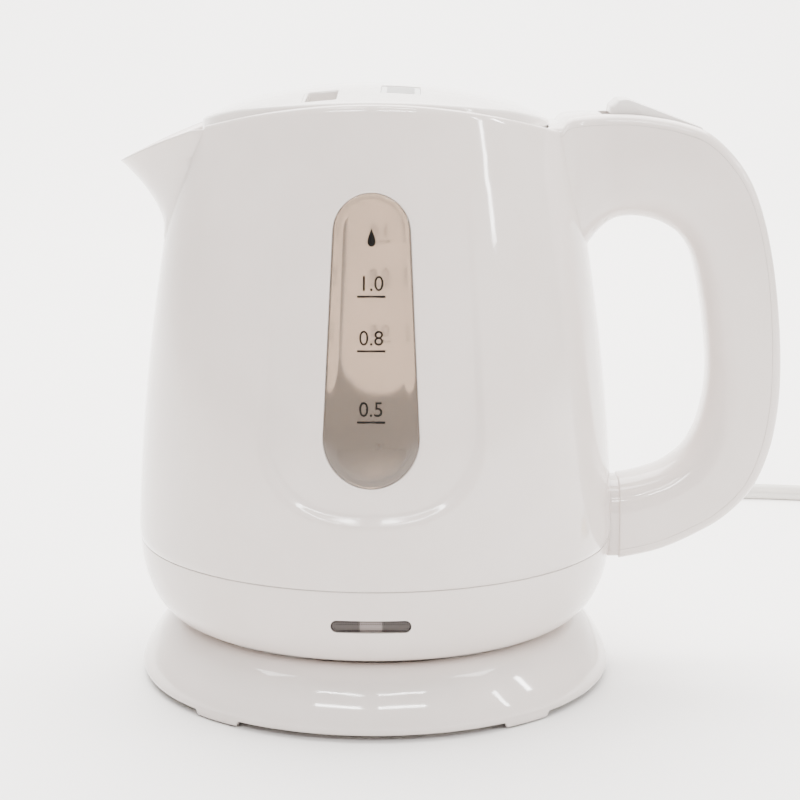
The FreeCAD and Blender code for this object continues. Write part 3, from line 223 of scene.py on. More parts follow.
PATCH_DEG = 37.5
PATCH_LOW_Z = 58.0
PATCH_TOP_Z = 172.0
PATCH_MID_Z = 118.0
LOW_ROWS, PATCH_ROWS, RIM_ROWS = 6, 46, 8
SPOUT_ROWS_DROP = 13.0   # how far the rows dip at the spout, and from which height on
SPOUT_ROWS_Z = 110.0

# The rim's rings between its outer and inner edge: share of the way, move inwards, drop.
RIM_STEPS = ((0.0, 0.18, 0.18), (0.0, 0.6, 0.0), (1.0, -0.5, 0.0), (1.0, -0.15, 0.15))
RIM_LEAST_GAP = 1.4
# The window's edge as (distance out, depth), and the panel's step as (distance out, share of depth).
WINDOW_EDGE = ((0.0, 0.9), (0.03, 0.35), (0.14, 0.12), (0.36, 0.0), (1.2, 0.0))
PANEL_STEP = (
    (-3.3, 1.0), (-2.9, 0.985), (-2.5, 0.93), (-2.0, 0.68), (-1.4, 0.37), (-0.85, 0.09),
    (-0.4, 0.012), (0.2, 0.0),
)

CORD_D = 0.0066
CORD_W = 0.0033


# ---- small helpers
def smoothstep(t):
    t = min(1.0, max(0.0, t))
    return t * t * (3 - 2 * t)


def mix(a, b, t):
    return a + (b - a) * t


def soft_max(a, b, k):
    """The larger of two values, with a rounded change-over k wide."""
    h = max(k - abs(a - b), 0.0) / k
    return max(a, b) + h * h * k / 4


def bisect(f, low, high):
    """Where a rising function crosses zero."""
    for _ in range(26):
        middle = (low + high) / 2
        if f(middle) < 0:
            low = middle
        else:
            high = middle
    return (low + high) / 2


def linked(name, data):
    """A new object in the scene that isn't yet part of the model."""
    piece = bpy.data.objects.new(name, data)
    bpy.context.scene.collection.objects.link(piece)
    return piece


def new_object(name, mesh, body, slot, *replaced):
    """A piece of the model: rides a body, has a slot and stands for the named CAD nodes."""
    piece = linked(name, mesh)
    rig.ride(piece, body)
    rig.slot(piece, slot)
    if replaced:
        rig.replaces(piece, *replaced)
    return piece


def evaluated_mesh(piece):
    """A new mesh of what the piece's curve or modifiers give."""
    graph = bpy.context.evaluated_depsgraph_get()
    return bpy.data.meshes.new_from_object(piece.evaluated_get(graph))


def turned(r, deg):
    """The point (x, y) at a radius and an angle."""
    return r * math.cos(math.radians(deg)), r * math.sin(math.radians(deg))


def full_turn(count, start=0.0):
    """Evenly spaced angles round a full turn, in radians."""
    return [2 * math.pi * (k + start) / count for k in range(count)]


def clean_mesh(mesh, material):
    """Joins doubled points, turns the normals out and gives the mesh its one material."""
    work = bmesh.new()
    work.from_mesh(mesh)
    bmesh.ops.remove_doubles(work, verts=work.verts, dist=1e-7)
    bmesh.ops.recalc_face_normals(work, faces=work.faces)
    work.to_mesh(mesh)
    work.free()
    mesh.materials.clear()
    mesh.materials.append(material)


def mesh_of(name, points, faces, material):
    """A smooth mesh in metres from points in millimetres, with its normals facing out."""
    mesh = bpy.data.meshes.new(name)
    mesh.from_pydata([Vector(p) * MM for p in points], [], faces)
    clean_mesh(mesh, material)
    mesh.polygons.foreach_set("use_smooth", [True] * len(mesh.polygons))
    return mesh


def quads(a, b):
    """Quads between two closed loops of point numbers."""
    ahead = [*range(1, len(a)), 0]
    return [(a[i], a[j], b[j], b[i]) for i, j in enumerate(ahead)]


def loops_to_faces(rings, closed_ends=False):
    """Quads between neighbouring rings of point numbers; closed_ends fills first and last."""
    faces = [face for a, b in zip(rings, rings[1:]) for face in quads(a, b)]
    if closed_ends:
        faces.append(tuple(rings[0]))
        faces.append(tuple(reversed(rings[-1])))
    return faces


def tube_mesh(name, rings, material, closed_ends=True, joined=False):
    """A mesh over a list of rings, each a list of points; joined leads the last to the first."""
    points = []
    numbers = []
    for ring in rings:
        numbers.append(list(range(len(points), len(points) + len(ring))))
        points += ring
    if joined:
        numbers.append(numbers[0])
    return mesh_of(name, points, loops_to_faces(numbers, closed_ends), material)


def add_tube(name, rings, material, body, slot, *replaced, **closing):
    return new_object(name, tube_mesh(name, rings, material, **closing), body, slot, *replaced)


def lathe(name, profile, material, steps, height=None):
    """A closed outline of (radius, z) turned round the axis; height may shift z by the angle."""
    shift = height or (lambda r, z, angle: z)
    points = []
    for t in full_turn(steps):
        c, s = math.cos(t), math.sin(t)
        points += [(r * c, r * s, shift(r, z, math.degrees(t))) for r, z in profile]
    n = len(profile)
    faces = []
    for i in range(steps):
        k = (i + 1) % steps
        for j in range(n):
            m = (j + 1) % n
            faces.append((i * n + j, k * n + j, k * n + m, i * n + m))
    return mesh_of(name, points, faces, material)


def rounded(corners, radii, steps=5):
    """A closed flat outline with each corner replaced by an arc of its own radius."""
    result = []
    count = len(corners)
    for i, corner in enumerate(corners):
        here = Vector(corner)
        back = Vector(corners[i - 1]) - here
        ahead = Vector(corners[(i + 1) % count]) - here
        r = radii[i] if hasattr(radii, "__len__") else radii
        half = back.angle(ahead) / 2
        cut = min(r / math.tan(half), 0.48 * back.length, 0.48 * ahead.length)
        r = cut * math.tan(half)
        back.normalize()
        ahead.normalize()
        middle = here + (back + ahead).normalized() * (r / math.sin(half))
        first = here + back * cut - middle
        last = here + ahead * cut - middle
        swing = math.pi - 2 * half
        for k in range(steps + 1):
            t = k / steps
            spoke = first * math.sin((1 - t) * swing) + last * math.sin(t * swing)
            result.append(tuple(middle + spoke / math.sin(swing)))
    return result


def catmull(points, per_span):
    """Points of a smooth curve through the given points."""
    result = []
    count = len(points)
    for i in range(count - 1):
        p0 = points[max(i - 1, 0)]
        p1, p2 = points[i], points[i + 1]
        p3 = points[min(i + 2, count - 1)]
        for k in range(per_span):
            t = k / per_span
            result.append([
                0.5 * (2 * b + (c - a) * t + (2 * a - 5 * b + 4 * c - d) * t * t
                       + (3 * b - a - 3 * c + d) * t ** 3)
                for a, b, c, d in zip(p0, p1, p2, p3)
            ])
    result.append(list(points[-1]))
    return result


def cut_with(piece, cutter):
    """Takes the cutter's shape out of the piece, then removes the cutter."""
    modifier = piece.modifiers.new("cut", "BOOLEAN")
    modifier.operation = "DIFFERENCE"
    modifier.solver = "EXACT"
    modifier.object = cutter
    bake_modifiers(piece)
    bpy.data.objects.remove(cutter)


def bake_modifiers(piece):
    mesh = evaluated_mesh(piece)
    piece.modifiers.clear()
    old = piece.data
    piece.data = mesh
    bpy.data.meshes.remove(old)


def rounded_block(name, low, high, r, material, steps=4):
    """A box with all its edges rounded, as an object that isn't yet part of the model."""
    mesh = bpy.data.meshes.new(name)
    work = bmesh.new()
    bmesh.ops.create_cube(work, size=1.0)
    for v in work.verts:
        v.co = Vector([mix(low[k], high[k], v.co[k] + 0.5) * MM for k in range(3)])
    bmesh.ops.bevel(work, geom=work.edges[:], offset=r * MM, segments=steps, profile=0.5, affect="EDGES")
    work.to_mesh(mesh)
    work.free()
    mesh.materials.append(material)
    mesh.polygons.foreach_set("use_smooth", [True] * len(mesh.polygons))
    return linked(name, mesh)


# ---- materials
def shader(name):
    material = bpy.data.materials.new(name)
    material.use_nodes = True
    tree = material.node_tree
    surface = tree.nodes["Principled BSDF"]
    place = tree.nodes.new("ShaderNodeTexCoord")
    return material, tree, surface, place


def set_inputs(node, values):
    for socket, value in values.items():
        node.inputs[socket].default_value = value


def noise_node(tree, place, scale, detail=3.0, rough=0.5):
    node = tree.nodes.new("ShaderNodeTexNoise")
    set_inputs(node, {"Scale": scale, "Detail": detail, "Roughness": rough})
    tree.links.new(place.outputs["Object"], node.inputs["Vector"])
    return node


def ranged(tree, source, low, high, start=0.3, end=0.7):
    """Spreads the source's values from start to end over low to high."""
    node = tree.nodes.new("ShaderNodeMapRange")
    set_inputs(node, {"From Min": start, "From Max": end, "To Min": low, "To Max": high})
    tree.links.new(source, node.inputs["Value"])
    return node.outputs["Result"]


def two_tone(tree, source, colour, other):
    node = tree.nodes.new("ShaderNodeMix")
    node.data_type = "RGBA"
    set_inputs(node, {"A": (*colour, 1), "B": (*other, 1)})
    tree.links.new(source, node.inputs["Factor"])
    return node.outputs["Result"]


def mottled(tree, place, surface, colour, other, scale, detail=4.0, rough=0.6):
    """Lets the base colour wander between two near tones."""
    cloud = noise_node(tree, place, scale, detail, rough)
    tree.links.new(two_tone(tree, ranged(tree, cloud.outputs["Fac"], 0, 1), colour, other),
                   surface.inputs["Base Color"])


def bumped(tree, source, distance):
    node = tree.nodes.new("ShaderNodeBump")
    set_inputs(node, {"Strength": 1.0, "Distance": distance})
    tree.links.new(source, node.inputs["Height"])
    return node.outputs["Normal"]


def moulded(name, colour, rough=(0.16, 0.24), tint=0.94, grain=2.0e-6, grain_scale=700.0,
            subsurface=0.0, coat=0.0):
    """Moulded plastic: a faint flow mottling in its colour, uneven gloss and a fine orange peel."""
    material, tree, surface, place = shader(name)
    other = (colour[0] * tint, colour[1] * tint * 0.995, colour[2] * tint * 0.985)
    mottled(tree, place, surface, colour, other, 28.0)
    smear = noise_node(tree, place, 90.0, 5.0, 0.65)
    tree.links.new(ranged(tree, smear.outputs["Fac"], *rough), surface.inputs["Roughness"])
    peel = noise_node(tree, place, grain_scale, 2.0)
    tree.links.new(bumped(tree, peel.outputs["Fac"], grain), surface.inputs["Normal"])
    set_inputs(surface, {"IOR": 1.5})
    if subsurface:
        set_inputs(surface, {"Subsurface Weight": subsurface, "Subsurface Scale": 1.0,
                             "Subsurface Radius": (0.004, 0.0035, 0.003)})
    if coat:
        set_inputs(surface, {"Coat Weight": coat, "Coat Roughness": 0.06})
    return material


def printed(name, colour):
    """Matt printing ink, slightly uneven in thickness."""
    material = moulded(name, colour, (0.75, 0.9), 0.7, 4.0e-6, 1600.0)
    set_inputs(material.node_tree.nodes["Principled BSDF"], {"IOR": 1.15})
    return material


def metal(name, colour, rough=(0.25, 0.4), brushed=False):
    """Steel, aluminium or brass, with turned or rolled lines and small stains."""
    material, tree, surface, place = shader(name)
    mottled(tree, place, surface, colour, [c * 0.86 for c in colour], 60.0, 5.0)
    stretch = tree.nodes.new("ShaderNodeMapping")
    set_inputs(stretch, {"Scale": (1.0, 12.0 if brushed else 1.0, 1.0)})
    tree.links.new(place.outputs["Object"], stretch.inputs["Vector"])
    lines = tree.nodes.new("ShaderNodeTexNoise")
    set_inputs(lines, {"Scale": 500.0})
    tree.links.new(stretch.outputs["Vector"], lines.inputs["Vector"])
    tree.links.new(ranged(tree, lines.outputs["Fac"], *rough), surface.inputs["Roughness"])
    tree.links.new(bumped(tree, lines.outputs["Fac"], 2.0e-6), surface.inputs["Normal"])
    set_inputs(surface, {"Metallic": 1.0})
    return material


def clear(name, colour, rough=(0.05, 0.12), see_through=0.9, ior=1.49):
    """See-through tinted plastic with faint flow marks and scale haze."""
    material, tree, surface, place = shader(name)
    haze = noise_node(tree, place, 45.0, 4.0, 0.6)
    tree.links.new(two_tone(tree, ranged(tree, haze.outputs["Fac"], 0, 1), colour,
                            [c * 0.93 for c in colour]), surface.inputs["Base Color"])
    tree.links.new(ranged(tree, haze.outputs["Fac"], *rough), surface.inputs["Roughness"])
    peel = noise_node(tree, place, 500.0, 2.0)
    tree.links.new(bumped(tree, peel.outputs["Fac"], 1.5e-6), surface.inputs["Normal"])
    set_inputs(surface, {"Transmission Weight": see_through, "IOR": ior})
    return material


white_body = moulded("white_body_plastic", (0.69, 0.62, 0.585), (0.05, 0.1), subsurface=0.06, coat=0.3)
white_base = moulded("white_base_plastic", (0.71, 0.645, 0.61), (0.05, 0.1), coat=0.3)
white_lid = moulded("white_lid_plastic", (0.75, 0.70, 0.67), (0.07, 0.13), coat=0.2)
white_handle = moulded("white_handle_plastic", (0.70, 0.63, 0.595), (0.06, 0.11), coat=0.3)
white_lever = moulded("white_lever_plastic", (0.74, 0.70, 0.675), (0.12, 0.2))
white_cord = moulded("white_cord_vinyl", (0.72, 0.69, 0.65), (0.3, 0.42), grain=4.0e-6)
smoky = clear("smoky_window_plastic", (0.60, 0.50, 0.42), (0.05, 0.1), 0.84)
lens_clear = clear("lamp_glass", (0.95, 0.9, 0.82), see_through=0.7)
clear_rubber = clear("clear_silicone", (0.86, 0.86, 0.84), (0.3, 0.4), 0.6, 1.41)
grey_rubber = moulded("grey_rubber", (0.16, 0.16, 0.165), (0.55, 0.72), 0.85, 1.2e-5, 900.0)
grey_nylon = moulded("grey_nylon", (0.33, 0.33, 0.335), (0.35, 0.5), 0.88)
grey_vent = moulded("grey_vent_plastic", (0.63, 0.62, 0.61), (0.3, 0.4))
scale_ink = printed("scale_ink", (0.012, 0.011, 0.010))
bright_steel = metal("bright_steel", (0.62, 0.61, 0.6), (0.18, 0.3))
plate_steel = metal("plate_steel", (0.6, 0.59, 0.57), (0.2, 0.34), True)
heater_aluminium = metal("heater_aluminium", (0.72, 0.72, 0.71), (0.35, 0.5))
brass = metal("brass", (0.78, 0.57, 0.25), (0.22, 0.36))
board_green = moulded("circuit_board", (0.05, 0.16, 0.08), (0.3, 0.45), 0.8)

SLOT_MATERIALS = {
    "white_body": white_body, "white_base": white_base, "white_lid": white_lid,
    "white_handle": white_handle, "white_lever": white_lever, "white_cord": white_cord,
    "smoky_window": smoky, "dark_lens": grey_nylon, "lamp_glass": lens_clear,
    "circuit_board": board_green, "grey_rubber": grey_rubber, "clear_feet": clear_rubber,
    "bright_steel": bright_steel, "plate_steel": plate_steel,
    "heater_aluminium": heater_aluminium, "brass": brass, "grey_nylon": grey_nylon,
    "grey_vent": grey_vent,
}

NODE_MATERIALS = {"lid_latch_front": white_lid, "lid_latch_rear": white_lid}


def dress_cad_nodes():
    """Every carried-over CAD node gets the detailed material of its slot."""
    for part in frame["record"]["subparts"]:
        data = nodes[part["node"]].data
        data.materials.clear()
        data.materials.append(NODE_MATERIALS.get(part["node"], SLOT_MATERIALS[part["material_slot"]]))


dress_cad_nodes()


# ---- camera
CAMERA_AT = (0.0127, -0.6599, 0.21865)
CAMERA_LENS = 93.56
CAMERA_YAW = -0.0074
CAMERA_PITCH = 0.1945
CAMERA_ROLL = 0.0026


def make_camera():
    ahead = Vector((
        math.sin(CAMERA_YAW) * math.cos(CAMERA_PITCH),
        math.cos(CAMERA_YAW) * math.cos(CAMERA_PITCH),
        -math.sin(CAMERA_PITCH),
    ))
    right = Vector((math.cos(CAMERA_YAW), -math.sin(CAMERA_YAW), 0))
    up = right.cross(ahead)
    level = right * math.cos(CAMERA_ROLL) + up * math.sin(CAMERA_ROLL)
    upright = up * math.cos(CAMERA_ROLL) - right * math.sin(CAMERA_ROLL)
    data = bpy.data.cameras.new("camera")
    data.lens = CAMERA_LENS
    data.sensor_width = 36.0
    camera = linked("camera", data)
    turn = Matrix((level, upright, -ahead)).transposed().to_4x4()
    camera.matrix_world = Matrix.Translation(CAMERA_AT) @ turn
    bpy.context.scene.camera = camera


make_camera()


# ---- mains cord
# The free run from the strain relief to the coil, in metres, as chosen in the design.
CORD_ROUTE = (
    (0.0, 0.1042, 0.0075), (0.0, 0.1242, 0.0056), (0.003, 0.146, 0.0033), (0.013, 0.170, 0.0033),
    (0.032, 0.192, 0.0033), (0.058, 0.209, 0.0033), (0.089, 0.221, 0.0033), (0.122, 0.228, 0.0033),
    (0.156, 0.2305, 0.0033), (0.190, 0.2255, 0.0033), (0.217, 0.218, 0.0033),
)
CORD_TAIL = (
    (0.2753, 0.162, 0.0092), (0.2768, 0.146, 0.0082), (0.2776, 0.130, 0.0070), (0.2774, 0.114, 0.0065),
)
COIL_AT = (0.2344, 0.177)
COIL_OUT_R = 0.0421
COIL_IN_R = 0.0366
COIL_START_DEG = 84.0
COIL_TURNS = 3.22
COIL_UP_TURN = 1.62      # where the cord steps up to the second layer
COIL_LAYER = 0.0066
COIL_PER_TURN = 16
COIL_SPREAD = 0.0004     # how much wider the upper layer ends

# The strain relief's two ends as (y, radius), and one rib as (step in y, cut into the radius).
RELIEF_HEAD = ((64.2, 5.2), (67.2, 5.2), (67.2, 4.4), (69.2, 4.4), (69.2, 5.2), (74.6, 5.2))
RELIEF_END = ((103.6, 3.95), (104.2, 3.6))
RELIEF_RIB = ((0.0, 0.0), (0.25, 0.75), (0.95, 0.8), (1.2, 0.1), (2.9, 0.18))
RELIEF_RIBS_Y = (76.4, 101.0)
RELIEF_PITCH = 3.1
RELIEF_TAPER = 0.14
RELIEF_AXIS_Z = 7.5

# The plug grip's sections: y, half width, half height and how square the oval is.
PLUG_AT = (277.4, 6.5)
PLUG_NECK = ((114.0, 3.9, 4.0, 2.0), (112.6, 4.6, 4.4, 2.1), (108.0, 5.6, 5.0, 2.3), (105.6, 7.6, 5.8, 2.6))
PLUG_RIDGE = ((0.0, 9.6, 6.1), (0.7, 8.9, 5.5), (1.5, 8.9, 5.5), (2.1, 9.8, 6.2))
PLUG_RIDGES_Y = [103.4 - 2.6 * k for k in range(4)]
PLUG_FACE = ((92.0, 10.7, 6.4, 3.2), (88.4, 10.8, 6.4, 3.6), (87.3, 10.4, 6.0, 3.6), (87.0, 9.6, 5.3, 3.6))


def coil_points():
    """Points of the put-away coil: a lower layer wound inwards, then an upper one outwards."""
    points = []
    count = int(COIL_TURNS * COIL_PER_TURN)
    for i in range(1, count + 1):
        turn = COIL_TURNS * i / count
        angle = math.radians(COIL_START_DEG - 360 * turn)
        if turn < COIL_UP_TURN:
            r = mix(COIL_OUT_R, COIL_IN_R, turn / COIL_UP_TURN)
        else:
            share = (turn - COIL_UP_TURN) / (COIL_TURNS - COIL_UP_TURN)
            r = mix(COIL_IN_R, COIL_OUT_R + COIL_SPREAD, share)
        lift = smoothstep((turn - COIL_UP_TURN + 0.09) / 0.18)
        points.append((COIL_AT[0] + r * math.cos(angle), COIL_AT[1] + r * math.sin(angle),
                       CORD_D / 2 + COIL_LAYER * lift))
    return points


def spline_line(points):
    """Points along a smooth NURBS line that has the given control points."""
    curve = bpy.data.curves.new("cord_line", "CURVE")
    curve.dimensions = "3D"
    spline = curve.splines.new("NURBS")
    spline.points.add(len(points) - 1)
    for point, at in zip(spline.points, points):
        point.co = (*at, 1)
    spline.order_u = 3
    spline.use_endpoint_u = True
    spline.resolution_u = 8
    holder = linked("cord_line", curve)
    mesh = evaluated_mesh(holder)
    line = [v.co.copy() for v in mesh.vertices]
    bpy.data.objects.remove(holder)
    bpy.data.meshes.remove(mesh)
    return line


def twin_section():
    """Outline of a twin cord standing on its edge: two round cores joined by a web."""
    core = CORD_D / 4
    outline = []
    for t in full_turn(36, 0.5):
        tall = CORD_D / 2 * math.sin(t)
        lobe = 1 - ((abs(tall) - core) / core) ** 2
        wide = CORD_W / 2 * math.sqrt(max(0.14, lobe))
        outline.append((math.copysign(wide, math.cos(t)), tall))
    return outline


def make_cord():
    line = spline_line(list(CORD_ROUTE) + coil_points() + list(CORD_TAIL))
    outline = twin_section()
    rings = []
    for i, here in enumerate(line):
        along = (line[min(i + 1, len(line) - 1)] - line[max(i - 1, 0)]).normalized()
        side = along.cross(Vector((0, 0, 1))).normalized()
        up = side.cross(along)
        rings.append([(here + side * w + up * h) / MM for w, h in outline])
    cord = add_tube("mains_cord_twin", rings, white_cord, "base", "white_cord",
                    "mains_cord", "mains_cord_coil", "mains_cord_tail")
    return cord, line


def make_relief():
    """Tapered strain relief with ribs and grooves."""
    profile = list(RELIEF_HEAD)
    y, last_y = RELIEF_RIBS_Y
    r = 5.1
    while y < last_y:
        profile += [(y + step, r - cut) for step, cut in RELIEF_RIB]
        y += RELIEF_PITCH
        r -= RELIEF_TAPER
    profile += RELIEF_END
    rings = []
    for y, r in profile:
        rings.append([(r * 0.9 * math.cos(t), y, RELIEF_AXIS_Z + r * math.sin(t)) for t in full_turn(40)])
    return add_tube("cord_strain_relief", rings, white_cord, "base", "white_cord", "strain_relief")


def make_plug():
    """Two pin plug: a flattened oval grip with finger ridges and a neck for the cord."""
    x, mid = PLUG_AT
    stations = list(PLUG_NECK)
    for y in PLUG_RIDGES_Y:
        stations += [(y - step, half_x, half_z, 2.9) for step, half_x, half_z in PLUG_RIDGE]
    rings = []
    for y, half_x, half_z, power in stations + list(PLUG_FACE):
        ring = []
        for t in full_turn(44):
            c, s = math.cos(t), math.sin(t)
            ring.append((x + half_x * math.copysign(abs(c) ** (2 / power), c), y,
                         mid + half_z * math.copysign(abs(s) ** (2 / power), s)))
        rings.append(ring)
    return add_tube("mains_plug_grip", rings, white_cord, "base", "white_cord", "mains_plug")


cord, cord_line = make_cord()
relief = make_relief()
plug = make_plug()
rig.cord(cord, exit=CORD_ROUTE[0], length=1.16, diameter=CORD_D, far_end="plug", stiffness="medium",
        lay="loose", path=cord_line, with_pieces=[relief, plug, nodes["plug_pins"]])


# ---- body surfaces
def body_radius(z):
    if z < BODY_R_Z:
        t = (BODY_R_Z - z) / (BODY_R_Z - SEAM_Z)
        return BODY_R - (BODY_R - SEAM_R) * t * t
    s = (z - BODY_R_Z) / (RIM_Z - BODY_R_Z)
    return BODY_R - (BODY_R - RIM_R) * (0.3 * s + 0.7 * s * s)


def arch_z(x):
    """Height of the rim, which follows an arch across the kettle."""
    return ARCH_Z + math.sqrt(ARCH_R * ARCH_R - x * x)


def spout_x(y, z, inset=0.0):
    """How far out the beak's wall stands at a given side distance and height."""
    share = (z - SPOUT_LOW_Z) / (RIM_Z - SPOUT_LOW_Z)
    if share <= 0:
        return 0.0
    half = SPOUT_LOW_HALF + (SPOUT_TOP_HALF - SPOUT_LOW_HALF) * share ** SPOUT_SPREAD - inset
    crease = math.sqrt(max(0.0, body_radius(z) ** 2 - (half + inset) ** 2)) - inset
    tip = body_radius(SPOUT_LOW_Z) + SPOUT_REACH * share ** SPOUT_CURL - SPOUT_WALL * inset
    if abs(y) > half:
        return crease - SPOUT_FALL * (abs(y) - half)
    u = math.sqrt((y / half) ** 2 + RIDGE_SOFT) - RIDGE_DROP
    return tip - (tip - crease) * u ** SPOUT_ROUND


def outer_point(deg, z, depth=0.0):
    """Outside of the shell, moved in by depth."""
    x, y = turned(body_radius(z) - depth, deg)
    if x < 0 and z > SPOUT_LOW_Z:
        x = -soft_max(-x, spout_x(y, z), SPOUT_SOFT_OUT)
    return x, y, z


def inner_point(deg, z):
    """Inside of the shell: the chamber wall, and above it the collar that holds the lid."""
    x, y = turned(COLLAR_R if z > COLLAR_Z else body_radius(z) - WALL, deg)
    if x < 0 and z > SPOUT_LOW_Z + WALL:
        x = -soft_max(-x, spout_x(y, z - WALL, WALL), SPOUT_SOFT_IN)
    return x, y, z


def panel_depth(z):
    return PANEL_DEPTH * min(1.0, max(0.0, (PANEL_FADE_Z - z) / (PANEL_FADE_Z - PANEL_FULL_Z)))


def window_gap(x, z):
    """Distance outside the window's tall oval outline, in millimetres."""
    low, top = WIN_LOW_Z + WIN_LOW_R, WIN_TOP_Z - WIN_TOP_R
    k = (WIN_LOW_R - WIN_TOP_R) / (top - low)
    a = math.sqrt(1 - k * k)
    px, pz = abs(x), z - low
    along = a * pz - k * px
    if along < 0:
        return math.hypot(px, pz) - WIN_LOW_R
    if along > a * (top - low):
        return math.hypot(px, z - top) - WIN_TOP_R
    return px * a + pz * k - WIN_LOW_R


def panel_gap(x, z):
    """Rough distance outside the U panel's outline."""
    half = body_radius(z) * math.sin(math.radians(PANEL_DEG))
    down = max(0.0, (PANEL_SIDE_Z - z) / (PANEL_SIDE_Z - PANEL_LOW_Z))
    reach = ((abs(x) / half) ** PANEL_ROUND + down ** PANEL_ROUND) ** (1 / PANEL_ROUND)
    return max((reach - 1) * half, z - PANEL_FADE_Z)


def body_columns():
    """Angles of the mesh's columns: finer round the spout."""
    columns = []
    deg = 0.0
    while deg < 359.9:
        columns.append(deg)
        deg += 0.75 if 138.0 <= deg < 222.0 else 1.5
    return columns


def column_heights(deg):
    """Heights of one column's points, following the arch of the rim at the top."""
    x = -RIM_R if math.cos(math.radians(deg)) < 0 else RIM_R
    for _ in range(ARCH_STEPS):
        x, _, _ = outer_point(deg, arch_z(x) if abs(x) < ARCH_R else RIM_Z)
    rim = arch_z(x)
    side = abs(math.sin(math.radians(deg))) * RIM_R if x < 0 else RIM_R
    drop = SPOUT_ROWS_DROP * smoothstep((SPOUT_TOP_HALF + 3 - side) / SPOUT_TOP_HALF)
    heights = [mix(SEAM_Z + 0.2, PATCH_LOW_Z, i / LOW_ROWS) for i in range(LOW_ROWS)]
    for i in range(PATCH_ROWS + 1):
        z = mix(PATCH_LOW_Z, PATCH_TOP_Z, i / PATCH_ROWS)
        heights.append(z - drop * smoothstep((z - SPOUT_ROWS_Z) / (PATCH_TOP_Z - SPOUT_ROWS_Z)))
    start = heights[-1]
    for i in range(1, RIM_ROWS + 1):
        heights.append(mix(start, rim - 0.6, i / RIM_ROWS))
    return heights, rim


def make_body_shell():
    columns = body_columns()
    points = []
    faces = []

    def add(p):
        points.append(p)
        return len(points) - 1

    def is_patch(c0, c1, row):
        middle = (columns[c0] + (columns[c1] if c1 else 360.0)) / 2
        off = min(abs(middle - 90), abs(middle - 270))
        return off < PATCH_DEG and LOW_ROWS <= row < LOW_ROWS + PATCH_ROWS

    plans = [column_heights(deg) for deg in columns]
    outside = [[add(outer_point(deg, z)) for z in heights] for deg, (heights, _) in zip(columns, plans)]
    inside = []
    for deg, (heights, _) in zip(columns, plans):
        raised = [max(z, FLOOR_Z - 6 + 8 * i / LOW_ROWS) for i, z in enumerate(heights)]
        inside.append([add(inner_point(deg, z)) for z in raised])

    count = len(columns)
    for grid in (outside, inside):
        for c in range(count):
            d = (c + 1) % count
            for row in range(len(grid[0]) - 1):
                if not is_patch(c, d, row):
                    faces.append((grid[c][row], grid[d][row], grid[d][row + 1], grid[c][row + 1]))

    # rim: a small round, the flat top and a second small round
    rim_rings = [[column[-1] for column in outside]]
    for share, inset, drop in RIM_STEPS:
        ring = []
        for deg, (_, z) in zip(columns, plans):
            out = Vector(outer_point(deg, z))
            back = Vector(inner_point(deg, z))
            flat = Vector((back.x - out.x, back.y - out.y, 0))
            gap = flat.length
            move = inset if gap > RIM_LEAST_GAP else inset * gap / RIM_LEAST_GAP
            at = Vector((out.x, out.y, 0)) + flat * share + flat.normalized() * move
            ring.append(add((at.x, at.y, z - drop)))
        rim_rings.append(ring)
    rim_rings.append([column[-1] for column in inside])
    faces += loops_to_faces(rim_rings)

    # lower edge: a small chamfer at the seam, then across the wall
    edge = [add((*turned(SEAM_R - 0.2, deg), SEAM_Z + 0.02)) for deg in columns]
    faces += loops_to_faces([[column[0] for column in outside], edge, [column[0] for column in inside]])

    for centre in (90.0, 270.0):
        border = patch_border(columns, centre)
        rays = [(columns[c] - centre, plans[c][0][row]) for c, row in border]
        holes = []
        for side, grid in (("out", outside), ("in", inside)):
            rings = patch_rings(rays, centre, side, add)
            rings.append([grid[c][row] for c, row in border])
            holes.append(rings[0])
            faces += loops_to_faces(rings)
        faces += quads(*holes)

    mesh = mesh_of("kettle_body_shell", points, faces, white_body)
    new_object("kettle_body_shell", mesh, "kettle", "white_body", "body_shell")


def patch_border(columns, centre):
    """Column and row numbers round the patch's rectangle."""
    inside = [c for c, deg in enumerate(columns) if abs(deg - centre) < PATCH_DEG + 0.1]
    first, last = inside[0], inside[-1]
    low, top = LOW_ROWS, LOW_ROWS + PATCH_ROWS
    border = [(c, low) for c in range(first, last)]
    border += [(last, row) for row in range(low, top)]
    border += [(c, top) for c in range(last, first, -1)]
    border += [(first, row) for row in range(top, low, -1)]
    return border


